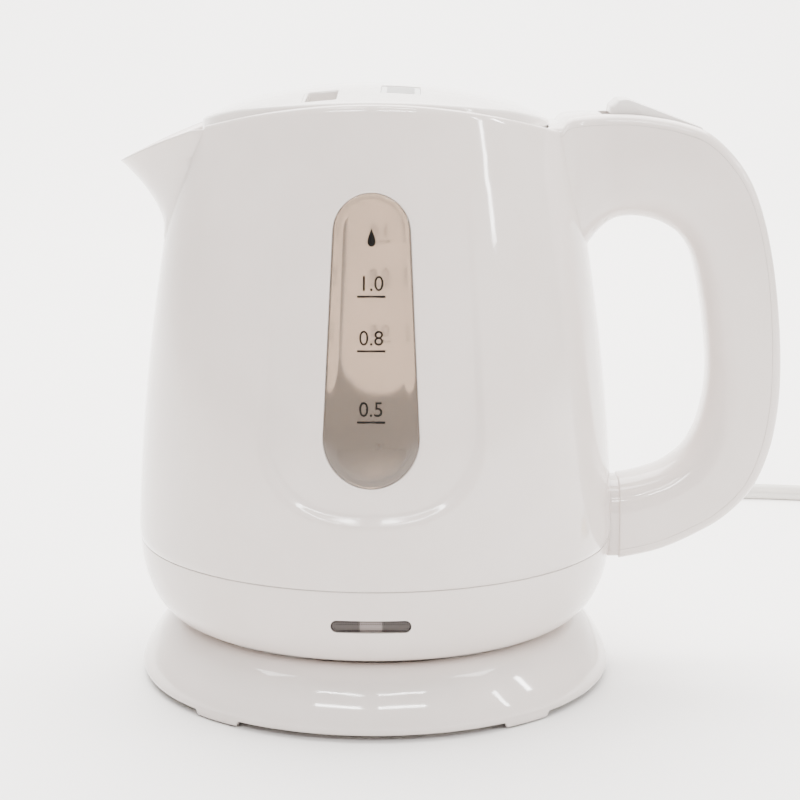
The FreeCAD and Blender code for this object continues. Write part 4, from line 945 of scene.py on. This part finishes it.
def patch_rings(rays, centre, side, add):
    """Rings of points between the window's edge and the patch's border."""
    def along(ray, t):
        return ray[0] * t, PATCH_MID_Z + (ray[1] - PATCH_MID_Z) * t

    def reach(ray, rule, offset):
        def gap(t):
            deg, z = along(ray, t)
            return rule(body_radius(z) * math.sin(math.radians(deg)), z) - offset
        return bisect(gap, 0.02, 1.0)

    def band(ray, offset):
        """The step is broader where it faces up at the panel's foot."""
        t = reach(ray, panel_gap, 0.0)
        z = along(ray, t)[1]
        return reach(ray, panel_gap, offset * (1 + 0.55 * smoothstep((95.0 - z) / 25.0)))

    plans = []
    for ray in rays:
        edge = reach(ray, window_gap, 0.0)
        if side == "in":
            plans.append([(edge, None)] + [(mix(edge, 1, share), None) for share in (0.2, 0.45, 0.75)])
            continue
        plan = [(reach(ray, window_gap, out), depth) for out, depth in WINDOW_EDGE]
        step = [(band(ray, out), ("step", share)) for out, share in PANEL_STEP]
        begin, end = plan[-1][0], step[0][0]
        plan += [(mix(begin, end, k / 6), 0.0) for k in range(1, 6)]
        plan += step
        plan += [(mix(step[-1][0], 1.0, k), ("step", 0.0)) for k in (0.35, 0.7)]
        plans.append(plan)

    rings = []
    for level in range(len(plans[0])):
        ring = []
        for ray, plan in zip(rays, plans):
            t, extra = plan[level]
            deg, z = along(ray, t)
            if side == "in":
                ring.append(add(inner_point(centre + deg, min(z, COLLAR_Z - 0.5))))
                continue
            stepped = isinstance(extra, tuple)
            depth = panel_depth(z) * extra[1] if stepped else panel_depth(z) + extra
            ring.append(add(outer_point(centre + deg, z, depth)))
        rings.append(ring)
    return rings


make_body_shell()


# ---- water windows
PANE_T = 2.6
PANE_SINK = 0.12         # how far the pane lies below the panel
SCALE_MARKS = ((132.2, "1.0"), (116.6, "0.8"), (96.1, "0.5"))
MARK_LEN = 8.3
MARK_T = 0.6
MARK_RISE = 0.07         # how far the ink stands out, and how deep it reaches in
MARK_SINK = 0.1
NUMBER_H = 4.4
NUMBER_SIZE = 1.38       # the font's size over the height of its numerals
DROP_Z = 149.0


def wrapped(x, z, depth, centre):
    """A point of the kettle's side at x across and z up, seen from the given side."""
    deg = math.degrees(math.asin(x / body_radius(z)))
    return outer_point(centre + deg, z, depth)


def window_outline(grow):
    """The tall oval as pairs: a point of the outline and the point of its middle line."""
    low_r, top_r = WIN_LOW_R + grow, WIN_TOP_R + grow
    low, top = WIN_LOW_Z + WIN_LOW_R, WIN_TOP_Z - WIN_TOP_R
    lean = math.asin((low_r - top_r) / (top - low))
    pairs = []
    for k in range(41):
        t = math.pi - lean + (math.pi + 2 * lean) * k / 40
        pairs.append(((low_r * math.cos(t), low + low_r * math.sin(t)), (0.0, low)))
    for k in range(1, 26):
        share = k / 26
        end = (top_r * math.cos(lean), top + top_r * math.sin(lean))
        begin = (low_r * math.cos(lean), low + low_r * math.sin(lean))
        edge = (mix(begin[0], end[0], share), mix(begin[1], end[1], share))
        pairs.append((edge, (0.0, mix(low, top, share))))
    for k in range(33):
        t = lean + (math.pi - 2 * lean) * k / 32
        pairs.append(((top_r * math.cos(t), top + top_r * math.sin(t)), (0.0, top)))
    for k in range(25, 0, -1):
        (x, z), middle = pairs[40 + k]
        pairs.append(((-x, z), middle))
    return pairs


def make_window(name, centre, node):
    plan = [(-0.1, 1.0, 0.45), (-0.16, 1.0, 0.2), (-0.4, 1.0, PANE_SINK)]
    plan += [(-0.4, share, PANE_SINK) for share in (0.75, 0.5, 0.25, 0.0)]
    rings = []
    for back in (True, False):
        for grow, share, depth in (reversed(plan) if back else plan):
            ring = []
            for (x, z), (mx, mz) in window_outline(grow):
                px, pz = mix(mx, x, share), mix(mz, z, share)
                inset = panel_depth(pz) + (PANE_T - depth + PANE_SINK if back else depth)
                ring.append(wrapped(px, pz, inset, centre))
            rings.append(ring)
    add_tube(name, rings, smoky, "kettle", "smoky_window", node, closed_ends=False)


def flat_piece(name, outline, centre):
    """A thin printed mark with a closed outline of (x, z), laid on the window's surface."""
    rings = []
    for rise in (-MARK_SINK, MARK_RISE):
        rings.append([wrapped(x, z, panel_depth(z) + PANE_SINK - rise, centre) for x, z in outline])
    add_tube(name, rings, scale_ink, "kettle", "white_body")


def make_number(name, text, z, centre):
    """Scale numerals, bent round the window."""
    curve = bpy.data.curves.new(name, "FONT")
    curve.body = text
    curve.size = NUMBER_H * NUMBER_SIZE * MM
    curve.align_x = "CENTER"
    curve.extrude = MARK_SINK * MM
    curve.resolution_u = 6
    holder = linked(name, curve)
    mesh = evaluated_mesh(holder)
    bpy.data.objects.remove(holder)
    for v in mesh.vertices:
        rise = MARK_RISE if v.co.z > 0 else -MARK_SINK
        height = z + v.co.y / MM
        depth = panel_depth(height) + PANE_SINK - rise
        v.co = Vector(wrapped(v.co.x / MM, height, depth, centre)) * MM
    clean_mesh(mesh, scale_ink)
    new_object(name, mesh, "kettle", "white_body")


def make_scale(side, centre):
    for z, text in SCALE_MARKS:
        half, t = MARK_LEN / 2, MARK_T / 2
        bar = [(mix(-half, half, k / 8), z - t) for k in range(9)]
        bar += [(mix(half, -half, k / 8), z + t) for k in range(9)]
        label = text.replace(".", "_")
        flat_piece(f"scale_line_{side}_{label}", bar, centre)
        make_number(f"scale_number_{side}_{label}", text, z + 1.7, centre)
    drop = []
    for k in range(33):
        t = 2 * math.pi * k / 33
        drop.append((1.7 * math.sin(t) * math.sin(t / 2) ** 1.6, DROP_Z + 2.6 * math.cos(t)))
    flat_piece(f"water_drop_{side}", drop, centre)


for side, centre, node in (("front", 270.0, "window_front"), ("rear", 90.0, "window_rear")):
    make_window(f"water_window_{side}", centre, node)
    make_scale(side, centre)


# ---- power base
BASE_CURVE = ((76.1, 3.2), (76.2, 4.6), (75.0, 8.2), (72.6, 12.5), (69.8, 16.3), (66.4, 19.1), (62.6, 20.4))
SKIRT_Z = 2.1
LUG_Z = 0.5
LUG_AT = (51.0, 129.0, 231.0, 309.0)
LUG_HALF_DEG = 6.0
LUG_RAMP_DEG = 0.8
LUG_RAMP_Z = 0.9
DECK_Z = 19.7
WELL_R = 46.0
WELL_Z = 15.2
TOWER_HOLE_R = 12.1
BASE_WALL = 2.4


def skirt_height(r, z, deg):
    """The skirt's lower edge is relieved between its four lugs."""
    if z > SKIRT_Z + LUG_RAMP_Z or r < 70:
        return z
    off = min(abs(deg - at) for at in LUG_AT)
    lug = 1 - smoothstep((off - LUG_HALF_DEG) / LUG_RAMP_DEG)
    return z - (SKIRT_Z - LUG_Z) * lug * smoothstep((SKIRT_Z + LUG_RAMP_Z - z) / LUG_RAMP_Z)


def make_base_cover():
    deck, well, far = DECK_Z - BASE_WALL, WELL_Z - BASE_WALL, WELL_R + BASE_WALL
    outside = [(74.0, SKIRT_Z), (75.2, SKIRT_Z), (75.65, SKIRT_Z + 0.12), (75.85, SKIRT_Z + 0.5)]
    outside += [tuple(p) for p in catmull(BASE_CURVE, 6)]
    outside += [(61.7, 20.3), (61.2, 20.05), (60.9, DECK_Z + 0.08), (60.3, DECK_Z)]
    outside += [(52.0, DECK_Z), (WELL_R + 0.7, DECK_Z), (WELL_R + 0.2, DECK_Z - 0.2), (WELL_R, DECK_Z - 0.7)]
    outside += [(WELL_R, WELL_Z + 0.8), (WELL_R - 0.25, WELL_Z + 0.25), (WELL_R - 0.8, WELL_Z)]
    outside += [(30.0, WELL_Z), (TOWER_HOLE_R + 0.4, WELL_Z), (TOWER_HOLE_R, WELL_Z - 0.4)]
    inside = [(TOWER_HOLE_R, well), (far, well), (far, deck), (60.0, deck), (64.4, 16.8)]
    inside += [(67.8, 13.6), (70.4, 10.6), (72.4, 7.4), (73.7, 4.2)]
    mesh = lathe("power_base_cover", outside + inside, white_base, 480, skirt_height)
    new_object("power_base_cover", mesh, "base", "white_base", "base_cover")


make_base_cover()


# ---- lower housing and indicator
HOUSING_FLOOR_Z = 21.3
HOUSING_CORNER = 14.0
CONNECTOR_HOLE_R = 18.7
LENS_HALF = 11.9
LENS_Z = (33.3, 37.4)
LENS_SINK = 0.35
LENS_GAP = 0.12
LENS_CORNER = 1.75
POST_RING = 59.5
POST_AT = (45.0, 165.0, 285.0)
SCREW_HEAD_R = 3.1


def housing_radius(z):
    t = math.acos((SEAM_Z - z) / (SEAM_Z - HOUSING_FLOOR_Z))
    return SEAM_R - HOUSING_CORNER + HOUSING_CORNER * math.sin(t)


def make_housing():
    rise = SEAM_Z - HOUSING_FLOOR_Z
    corner = SEAM_R - HOUSING_CORNER
    profile = [(CONNECTOR_HOLE_R, HOUSING_FLOOR_Z + 0.5), (CONNECTOR_HOLE_R + 0.5, HOUSING_FLOOR_Z)]
    profile += [(30.0, HOUSING_FLOOR_Z), (45.0, HOUSING_FLOOR_Z)]
    for k in range(33):
        t = math.pi / 2 * k / 32 * 0.985
        profile.append((corner + HOUSING_CORNER * math.sin(t), SEAM_Z - rise * math.cos(t)))
    profile += [(SEAM_R, SEAM_Z - 0.22), (SEAM_R - 0.07, SEAM_Z - 0.09), (SEAM_R - 0.4, SEAM_Z - 0.02)]
    profile.append((SEAM_R - WALL, SEAM_Z - 0.02))
    for k in range(16, -1, -1):
        t = math.pi / 2 * k / 16
        profile.append((corner + (HOUSING_CORNER - WALL) * math.sin(t), SEAM_Z - (rise - WALL) * math.cos(t)))
    profile += [(40.0, HOUSING_FLOOR_Z + WALL), (CONNECTOR_HOLE_R, HOUSING_FLOOR_Z + WALL)]
    mesh = lathe("kettle_lower_housing", profile, white_body, 288)
    piece = new_object("kettle_lower_housing", mesh, "kettle", "white_body", "bottom_housing")
    slot = rounded_block("slot_cutter", (-LENS_HALF, -90.0, LENS_Z[0]), (LENS_HALF, -66.0, LENS_Z[1]),
                         1.9, white_body, 6)
    cut_with(piece, slot)
    for deg in POST_AT:
        x, y = turned(POST_RING, deg)
        pocket = [[(x + SCREW_HEAD_R * math.cos(t), y + SCREW_HEAD_R * math.sin(t), z) for t in full_turn(32)]
                  for z in (HOUSING_FLOOR_Z - 2, HOUSING_FLOOR_Z + 1.2)]
        cut_with(piece, linked("pocket", tube_mesh("pocket", pocket, white_body)))
    piece.data.set_sharp_from_angle(angle=math.radians(35))


def lens_material():
    """Dark lens with a fine dot screen and a paler lamp window in its middle."""
    material, tree, surface, place = shader("dotted_lens")
    dots = tree.nodes.new("ShaderNodeTexVoronoi")
    set_inputs(dots, {"Scale": 1500.0, "Randomness": 0.0})
    tree.links.new(place.outputs["Object"], dots.inputs["Vector"])
    speck = ranged(tree, dots.outputs["Distance"], 0, 1, 0.2, 0.42)
    split = tree.nodes.new("ShaderNodeSeparateXYZ")
    tree.links.new(place.outputs["Object"], split.inputs["Vector"])
    away = tree.nodes.new("ShaderNodeMath")
    away.operation = "ABSOLUTE"
    tree.links.new(split.outputs["X"], away.inputs[0])
    middle = ranged(tree, away.outputs["Value"], 0, 1, 0.0036, 0.0030)
    dark = two_tone(tree, speck, (0.004, 0.003, 0.003), (0.060, 0.050, 0.046))
    pale = two_tone(tree, speck, (0.03, 0.025, 0.023), (0.20, 0.17, 0.16))
    blend = tree.nodes.new("ShaderNodeMix")
    blend.data_type = "RGBA"
    tree.links.new(middle, blend.inputs["Factor"])
    tree.links.new(dark, blend.inputs["A"])
    tree.links.new(pale, blend.inputs["B"])
    tree.links.new(blend.outputs["Result"], surface.inputs["Base Color"])
    smear = noise_node(tree, place, 120.0)
    tree.links.new(ranged(tree, smear.outputs["Fac"], 0.16, 0.28), surface.inputs["Roughness"])
    tree.links.new(bumped(tree, speck, 2.0e-5), surface.inputs["Normal"])
    set_inputs(surface, {"IOR": 1.3})
    return material


def make_lens():
    """Indicator lens, curved like the housing and rounded at its rim."""
    half = LENS_HALF - LENS_GAP
    low, high = LENS_Z[0] + LENS_GAP, LENS_Z[1] - LENS_GAP

    def on_housing(x, z, sink):
        r = housing_radius(z) - sink
        return x, -math.sqrt(r * r - x * x), z

    rings = []
    for inset, sink in ((0.0, 2.2), (0.0, 0.75), (0.12, 0.45), (0.4, LENS_SINK)):
        left, right, foot, head = -half + inset, half - inset, low + inset, high - inset
        corners = [(left, foot), (right, foot), (right, head), (left, head)]
        rings.append([on_housing(x, z, sink) for x, z in rounded(corners, LENS_CORNER - inset, 6)])
    rings.append([on_housing(x, (low + high) / 2, LENS_SINK) for x, _, _ in rings[-1]])
    add_tube("indicator_window", rings, lens_material(), "kettle", "dark_lens", "indicator_lens")


make_housing()
make_lens()


# ---- handle
# Outer and inner points (x, z) of the handle's side outline, from the upper root to the lower end.
HANDLE_STATIONS = (
    ((57.2, 177.9), (58.5, 127.5)), ((59.6, 180.2), (62.0, 133.0)), ((64.5, 180.9), (65.4, 138.2)),
    ((69.5, 181.1), (69.4, 143.6)), ((75.0, 181.2), (74.4, 147.8)), ((81.0, 181.0), (79.6, 149.0)),
    ((87.5, 180.2), (85.2, 148.6)), ((95.0, 178.7), (90.6, 146.9)), ((103.5, 175.6), (96.0, 143.3)),
    ((111.5, 168.6), (99.8, 137.6)), ((117.4, 160.0), (102.0, 130.5)), ((121.6, 149.0), (103.7, 122.0)),
    ((124.9, 135.0), (105.1, 112.5)), ((127.3, 118.0), (106.0, 104.0)), ((128.4, 102.0), (106.1, 96.5)),
    ((128.0, 88.0), (105.2, 88.5)), ((125.6, 74.5), (103.0, 80.3)), ((120.6, 62.5), (98.8, 73.2)),
    ((112.0, 53.2), (92.6, 68.5)), ((101.5, 46.8), (86.2, 66.1)), ((90.7, 42.1), (81.2, 64.9)),
    ((78.4, 39.3), (78.3, 64.5)),
)
HANDLE_HALF = 13.5
COVER_T = 3.1
PARTING = 0.025          # half of the groove between grip and cover
OUTER_ROUND = 3.0
INNER_ROUND = 10.5
ROOT_X = 75.0
LEVER_POCKET = ((70.4, -8.8, 168.1), (104.0, 8.8, 195.0))
EDGE_ROUND = 0.08
COVER_ROUNDS = (OUTER_ROUND * 0.9, OUTER_ROUND * 0.9, EDGE_ROUND, EDGE_ROUND)
GRIP_ROUNDS = (EDGE_ROUND, EDGE_ROUND, INNER_ROUND, INNER_ROUND)
FLARE = 6.5              # how much wider the upper root is, and over what length
FLARE_LENGTH = 16.0
ROOT_TOP_R = 56.7        # the root's least radius under the rim, from this height up
ROOT_TOP_Z = 175.5
ROOT_DEPTH = 1.2         # how far it may reach into the wall lower down
END_ROUND = ((0.45, 0.0), (0.12, 0.14), (0.0, 0.5))   # the strip's end: back along it, inwards
PAD_X = (73.5, 76.0, 78.0, 79.5)
PAD_INSET = 0.6
PAD_Z = (39.3, 64.5)
PAD_ROUNDS = (2.4, 2.4, 9.8, 9.8)


def handle_rings(first_depth, last_depth, radii):
    """Rings of a strip of the handle between two depths below its outer outline."""
    line = catmull([o + i for o, i in HANDLE_STATIONS], 7)
    rings = []
    for count, (ox, oz, ix, iz) in enumerate(line):
        thick = math.hypot(ox - ix, oz - iz)
        ux, uz = (ix - ox) / thick, (iz - oz) / thick
        upper = count < len(line) / 2
        flare = FLARE * max(0.0, (ROOT_X - ox) / FLARE_LENGTH) ** 2 if upper else 0.0
        end = last_depth if last_depth > 0 else thick
        ring = []
        for s, y in strip_outline(first_depth, end, HANDLE_HALF + flare, radii):
            x, z = ox + ux * s, oz + uz * s
            ring.append(outside_body(x, y, z, count == 0) if upper else (x, y, z))
        rings.append(ring)
    return rings


def outside_body(x, y, z, on_wall=False):
    """Moves a point that is deep in the body's wall out to its middle, or always onto it."""
    least = ROOT_TOP_R if z > ROOT_TOP_Z else body_radius(z) - ROOT_DEPTH
    r = math.hypot(x, y)
    if r >= least and not on_wall:
        return x, y, z
    return math.sqrt(max(0.0, least * least - y * y)), y, z


def strip_outline(near, far, half, radii):
    """A rectangle's outline with a quarter round of its own radius at each corner."""
    corners = [(near, -half), (near, half), (far, half), (far, -half)]
    result = []
    for i, (s, y) in enumerate(corners):
        r = radii[i]
        ps, py = corners[i - 1]
        ns, ny = corners[(i + 1) % 4]
        back = Vector((ps - s, py - y)).normalized()
        ahead = Vector((ns - s, ny - y)).normalized()
        middle = Vector((s, y)) + (back + ahead) * r
        for k in range(7):
            t = math.pi / 2 * k / 6
            result.append(tuple(middle - ahead * (r * math.cos(t)) - back * (r * math.sin(t))))
    return result


def make_handle():
    for name, node, first, last, radii in (
        ("handle_grip", "handle_shell", COVER_T + PARTING, 0.0, GRIP_ROUNDS),
        ("handle_outer_cover", "handle_cover", 0.0, COVER_T - PARTING, COVER_ROUNDS),
    ):
        rings = soft_end(handle_rings(first, last, radii))
        piece = add_tube(name, rings, white_handle, "kettle", "white_handle", node)
        cut_with(piece, rounded_block("pocket_cutter", *LEVER_POCKET, 0.7, white_handle))
        piece.data.set_sharp_from_angle(angle=math.radians(50))
    make_handle_pad()


def soft_end(rings):
    """Rounds the strip's last edge by drawing its last rings in."""
    last = [Vector(p) for p in rings[-1]]
    before = [Vector(p) for p in rings[-2]]
    centre = sum(last, Vector()) / len(last)
    along = (last[0] - before[0]).normalized()
    rings = rings[:-1]
    for back, inward in END_ROUND:
        rings.append([tuple(p - along * back + (centre - p).normalized() * inward) for p in last])
    return rings


def make_handle_pad():
    """The foot that the lower arm butts against, a little smaller than the arm."""
    outline = strip_outline(PAD_Z[0] + PAD_INSET, PAD_Z[1] - PAD_INSET, HANDLE_HALF - PAD_INSET, PAD_ROUNDS)
    rings = [[(x, y, z) for z, y in outline] for x in PAD_X]
    add_tube("handle_foot_pad", rings, white_body, "kettle", "white_body")


make_handle()


# ---- power lever
LEVER_HALF = 8.5
LEVER_OUTLINE = (
    (102.0, 177.0), (102.4, 173.4), (99.6, 170.2), (94.0, 170.0), (87.0, 177.2), (73.0, 180.7),
    (73.3, 183.4), (75.6, 185.6), (78.4, 185.9),
)
LEVER_RADII = (1.2, 1.2, 1.2, 1.2, 2.5, 0.8, 1.0, 1.6, 3.0)
LEVER_CENTRE = (86.0, 179.0)
# The softened edges of its two sides: side, how far the outline draws in, how far in from the side.
LEVER_EDGES = (
    (-1, 0.9, 0.0), (-1, 0.35, 0.18), (-1, 0.0, 0.75), (1, 0.0, 0.75), (1, 0.35, 0.18), (1, 0.9, 0.0),
)


def make_lever():
    """Wedge paddle with softened edges."""
    outline = rounded(LEVER_OUTLINE, LEVER_RADII, 4)
    rings = []
    for side, inset, shift in LEVER_EDGES:
        ring = []
        for x, z in outline:
            away = Vector((x - LEVER_CENTRE[0], z - LEVER_CENTRE[1]))
            at = Vector((x, z)) - away.normalized() * inset
            ring.append((at.x, side * (LEVER_HALF - shift), at.y))
        rings.append(ring)
    add_tube("power_lever_paddle", rings, white_lever, "lever", "white_lever", "power_lever")


make_lever()


# ---- lid
LID_R = 54.4
LID_CROWN_Z = 189.9
LID_SIDE_R = 500.0
LID_END_X = 37.0          # where the dome starts to roll off towards its two ends
LID_END_DROP = 1.9
LID_SKIRT_Z = 171.8
LID_SKIN = 2.2
WELL_X = (-21.0, -10.0)
WELL_Y = (21.0, 48.0)
WELL_FLOOR = 180.7
GRILLE_X = (2.0, 14.0)
GRILLE_Y = (-34.0, -10.0)
# The dome's rings above and below as (radius, depth under its surface).
LID_ABOVE = tuple((r, 0.0) for r in (0.0, 6.0, 12.0, 18.0, 24.0, 30.0, 36.0, 42.0, 47.0, 51.0, 53.0))
LID_ABOVE += ((53.7, 0.1), (54.15, 0.35), (LID_R, 0.9))
LID_BELOW = ((52.2, LID_SKIN + 0.6),)
LID_BELOW += tuple((r, LID_SKIN) for r in (51.6, 46.0, 38.0, 28.0, 18.0, 8.0, 0.0))
# The finger well's lip: inset from the well's outline, drop below the dome, None at the floor.
WELL_LIP = (
    (-0.05, None), (-0.05, 0.2), (0.1, -0.06), (0.55, -0.02), (0.95, 0.35), (1.0, 0.9), (1.0, None),
)


def lid_z(x, y):
    """Height of the lid's dome: arched along the kettle and slightly across it."""
    arch = ARCH_Z + math.sqrt((LID_CROWN_Z - ARCH_Z) ** 2 - x * x)
    arch -= LID_END_DROP * max(0.0, (abs(x) - LID_END_X) / (LID_R - LID_END_X)) ** 2
    low = LID_CROWN_Z - LID_SIDE_R
    return low + math.sqrt((arch - low) ** 2 - y * y)


def lid_rings():
    """The rings of a round dome with a skirt: across the top, down the skirt and back below."""
    def ring(r, depth):
        points = [(r * math.cos(t), r * math.sin(t)) for t in full_turn(192)]
        return [(x, y, lid_z(x, y) - depth) for x, y in points]

    def skirt_ring(r, z):
        return [(r * math.cos(t), r * math.sin(t), z) for t in full_turn(192)]

    rings = [ring(r, depth) for r, depth in LID_ABOVE]
    rings += [skirt_ring(LID_R, LID_SKIRT_Z + 0.3), skirt_ring(LID_R - 0.3, LID_SKIRT_Z)]
    rings.append(skirt_ring(52.2, LID_SKIRT_Z))
    return rings + [ring(r, depth) for r, depth in LID_BELOW]


def make_lid():
    piece = add_tube("lid_dome", lid_rings(), white_lid, "lid", "white_lid", "lid_top", closed_ends=False)
    cut_with(piece, rounded_block("grille_cutter", (GRILLE_X[0], GRILLE_Y[0], 175.0),
                                  (GRILLE_X[1], GRILLE_Y[1], 195.0), 0.6, white_lid))
    for side in (-1, 1):
        low, high = sorted((side * WELL_Y[0], side * WELL_Y[1]))
        cut_with(piece, rounded_block("well_cutter", (WELL_X[0], low, 174.0), (WELL_X[1], high, 196.0),
                                      2.0, white_lid, 6))
        make_well_wall(side, low, high)
    piece.data.set_sharp_from_angle(angle=math.radians(40))


def make_well_wall(side, low, high):
    """Liner of a finger well: a thin wall round the opening with a rounded lip, open below."""
    name = "finger_well_front" if side < 0 else "finger_well_rear"
    rings = []
    for inset, drop in WELL_LIP:
        x0, x1, y0, y1 = WELL_X[0] + inset, WELL_X[1] - inset, low + inset, high - inset
        outline = rounded([(x0, y0), (x1, y0), (x1, y1), (x0, y1)], max(0.6, 2.0 - inset), 8)
        rings.append([(x, y, WELL_FLOOR if drop is None else lid_z(x, y) - drop) for x, y in outline])
    add_tube(name, rings, white_lid, "lid", "white_lid", closed_ends=False, joined=True)


make_lid()


# ---- latch springs
LATCH_TRAVEL = 0.004
SPRING_FIXED_Y = 0.003


def make_latch_spring(side, sign):
    """The spring shortens as its latch is squeezed, while its inner end stays where it is."""
    node = f"latch_spring_{side}"
    low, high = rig.box(node)
    spring = new_object(f"{node}_coil", nodes[node].data.copy(), "lid", "bright_steel", node)
    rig.squash(spring, f"latch_{side}_squeeze", axis=(0, 1, 0), anchor=(0, sign * SPRING_FIXED_Y, 0),
              keep=1 - LATCH_TRAVEL / (high[1] - low[1]))


make_latch_spring("front", -1)
make_latch_spring("rear", 1)


FLOOR_HALF = 9000.0       # millimetres, far past every view
SWEEP_Y, SWEEP_R = 1300.0, 600.0
BACKDROP_Z = 2400.0


def make_stage():
    """A pale floor that curves up behind into a plain backdrop."""
    steps = 16
    profile = [(-FLOOR_HALF, 0.0), (SWEEP_Y, 0.0)]
    for k in range(1, steps + 1):
        t = math.pi / 2 * k / steps
        profile.append((SWEEP_Y + SWEEP_R * math.sin(t), SWEEP_R - SWEEP_R * math.cos(t)))
    profile.append((SWEEP_Y + SWEEP_R, BACKDROP_Z))
    points = [(x, y, z) for y, z in profile for x in (-FLOOR_HALF, FLOOR_HALF)]
    faces = [(k, k + 1, k + 3, k + 2) for k in range(0, 2 * len(profile) - 2, 2)]
    material, tree, surface, place = shader("pale_floor")
    mottled(tree, place, surface, (0.87, 0.855, 0.84), (0.85, 0.835, 0.82), 3.0, 3.0, 0.5)
    set_inputs(surface, {"Roughness": 0.55})
    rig.stage(linked("floor", mesh_of("floor", points, faces, material)))


def area_light(name, at, aim, size, power, colour=(1, 1, 1)):
    data = bpy.data.lights.new(name, "AREA")
    data.shape = "RECTANGLE"
    data.size, data.size_y = size
    data.energy = power
    data.color = colour
    lamp = linked(name, data)
    lamp.location = at
    lamp.rotation_euler = (Vector(aim) - Vector(at)).to_track_quat("-Z", "Y").to_euler()


WARM_WHITE = (1.0, 0.985, 0.97)


def make_light():
    world = bpy.data.worlds.new("studio")
    bpy.context.scene.world = world
    world.use_nodes = True
    back = world.node_tree.nodes["Background"]
    set_inputs(back, {"Color": (*WARM_WHITE, 1), "Strength": 0.5})
    area_light("ceiling", (0, 0.75, 1.7), (0, 0.75, 0), (2.6, 2.2), 240, WARM_WHITE)
    for side, x in (("left", -0.42), ("right", 0.34)):
        area_light(f"tube_low_{side}", (x, -1.25, 1.0), (x * 0.2, 0, 0.05), (0.58, 0.05), 7)
        area_light(f"tube_high_{side}", (x, -1.12, 1.28), (x * 0.2, 0, 0.05), (0.58, 0.03), 4.5)
    area_light("side_strip", (1.25, -0.55, 0.62), (0, 0, 0.12), (0.05, 0.5), 5)
    area_light("side_lamp", (1.35, -0.15, 0.75), (0, 0, 0.12), (0.06, 0.3), 5)


make_stage()
make_light()


def plain_list(box):
    return [[float(v) for v in corner] for corner in box]


with open("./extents.json", "w") as out:
    json.dump({"cad": plain_list(cad_box), "visual": plain_list(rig.bounds())}, out)
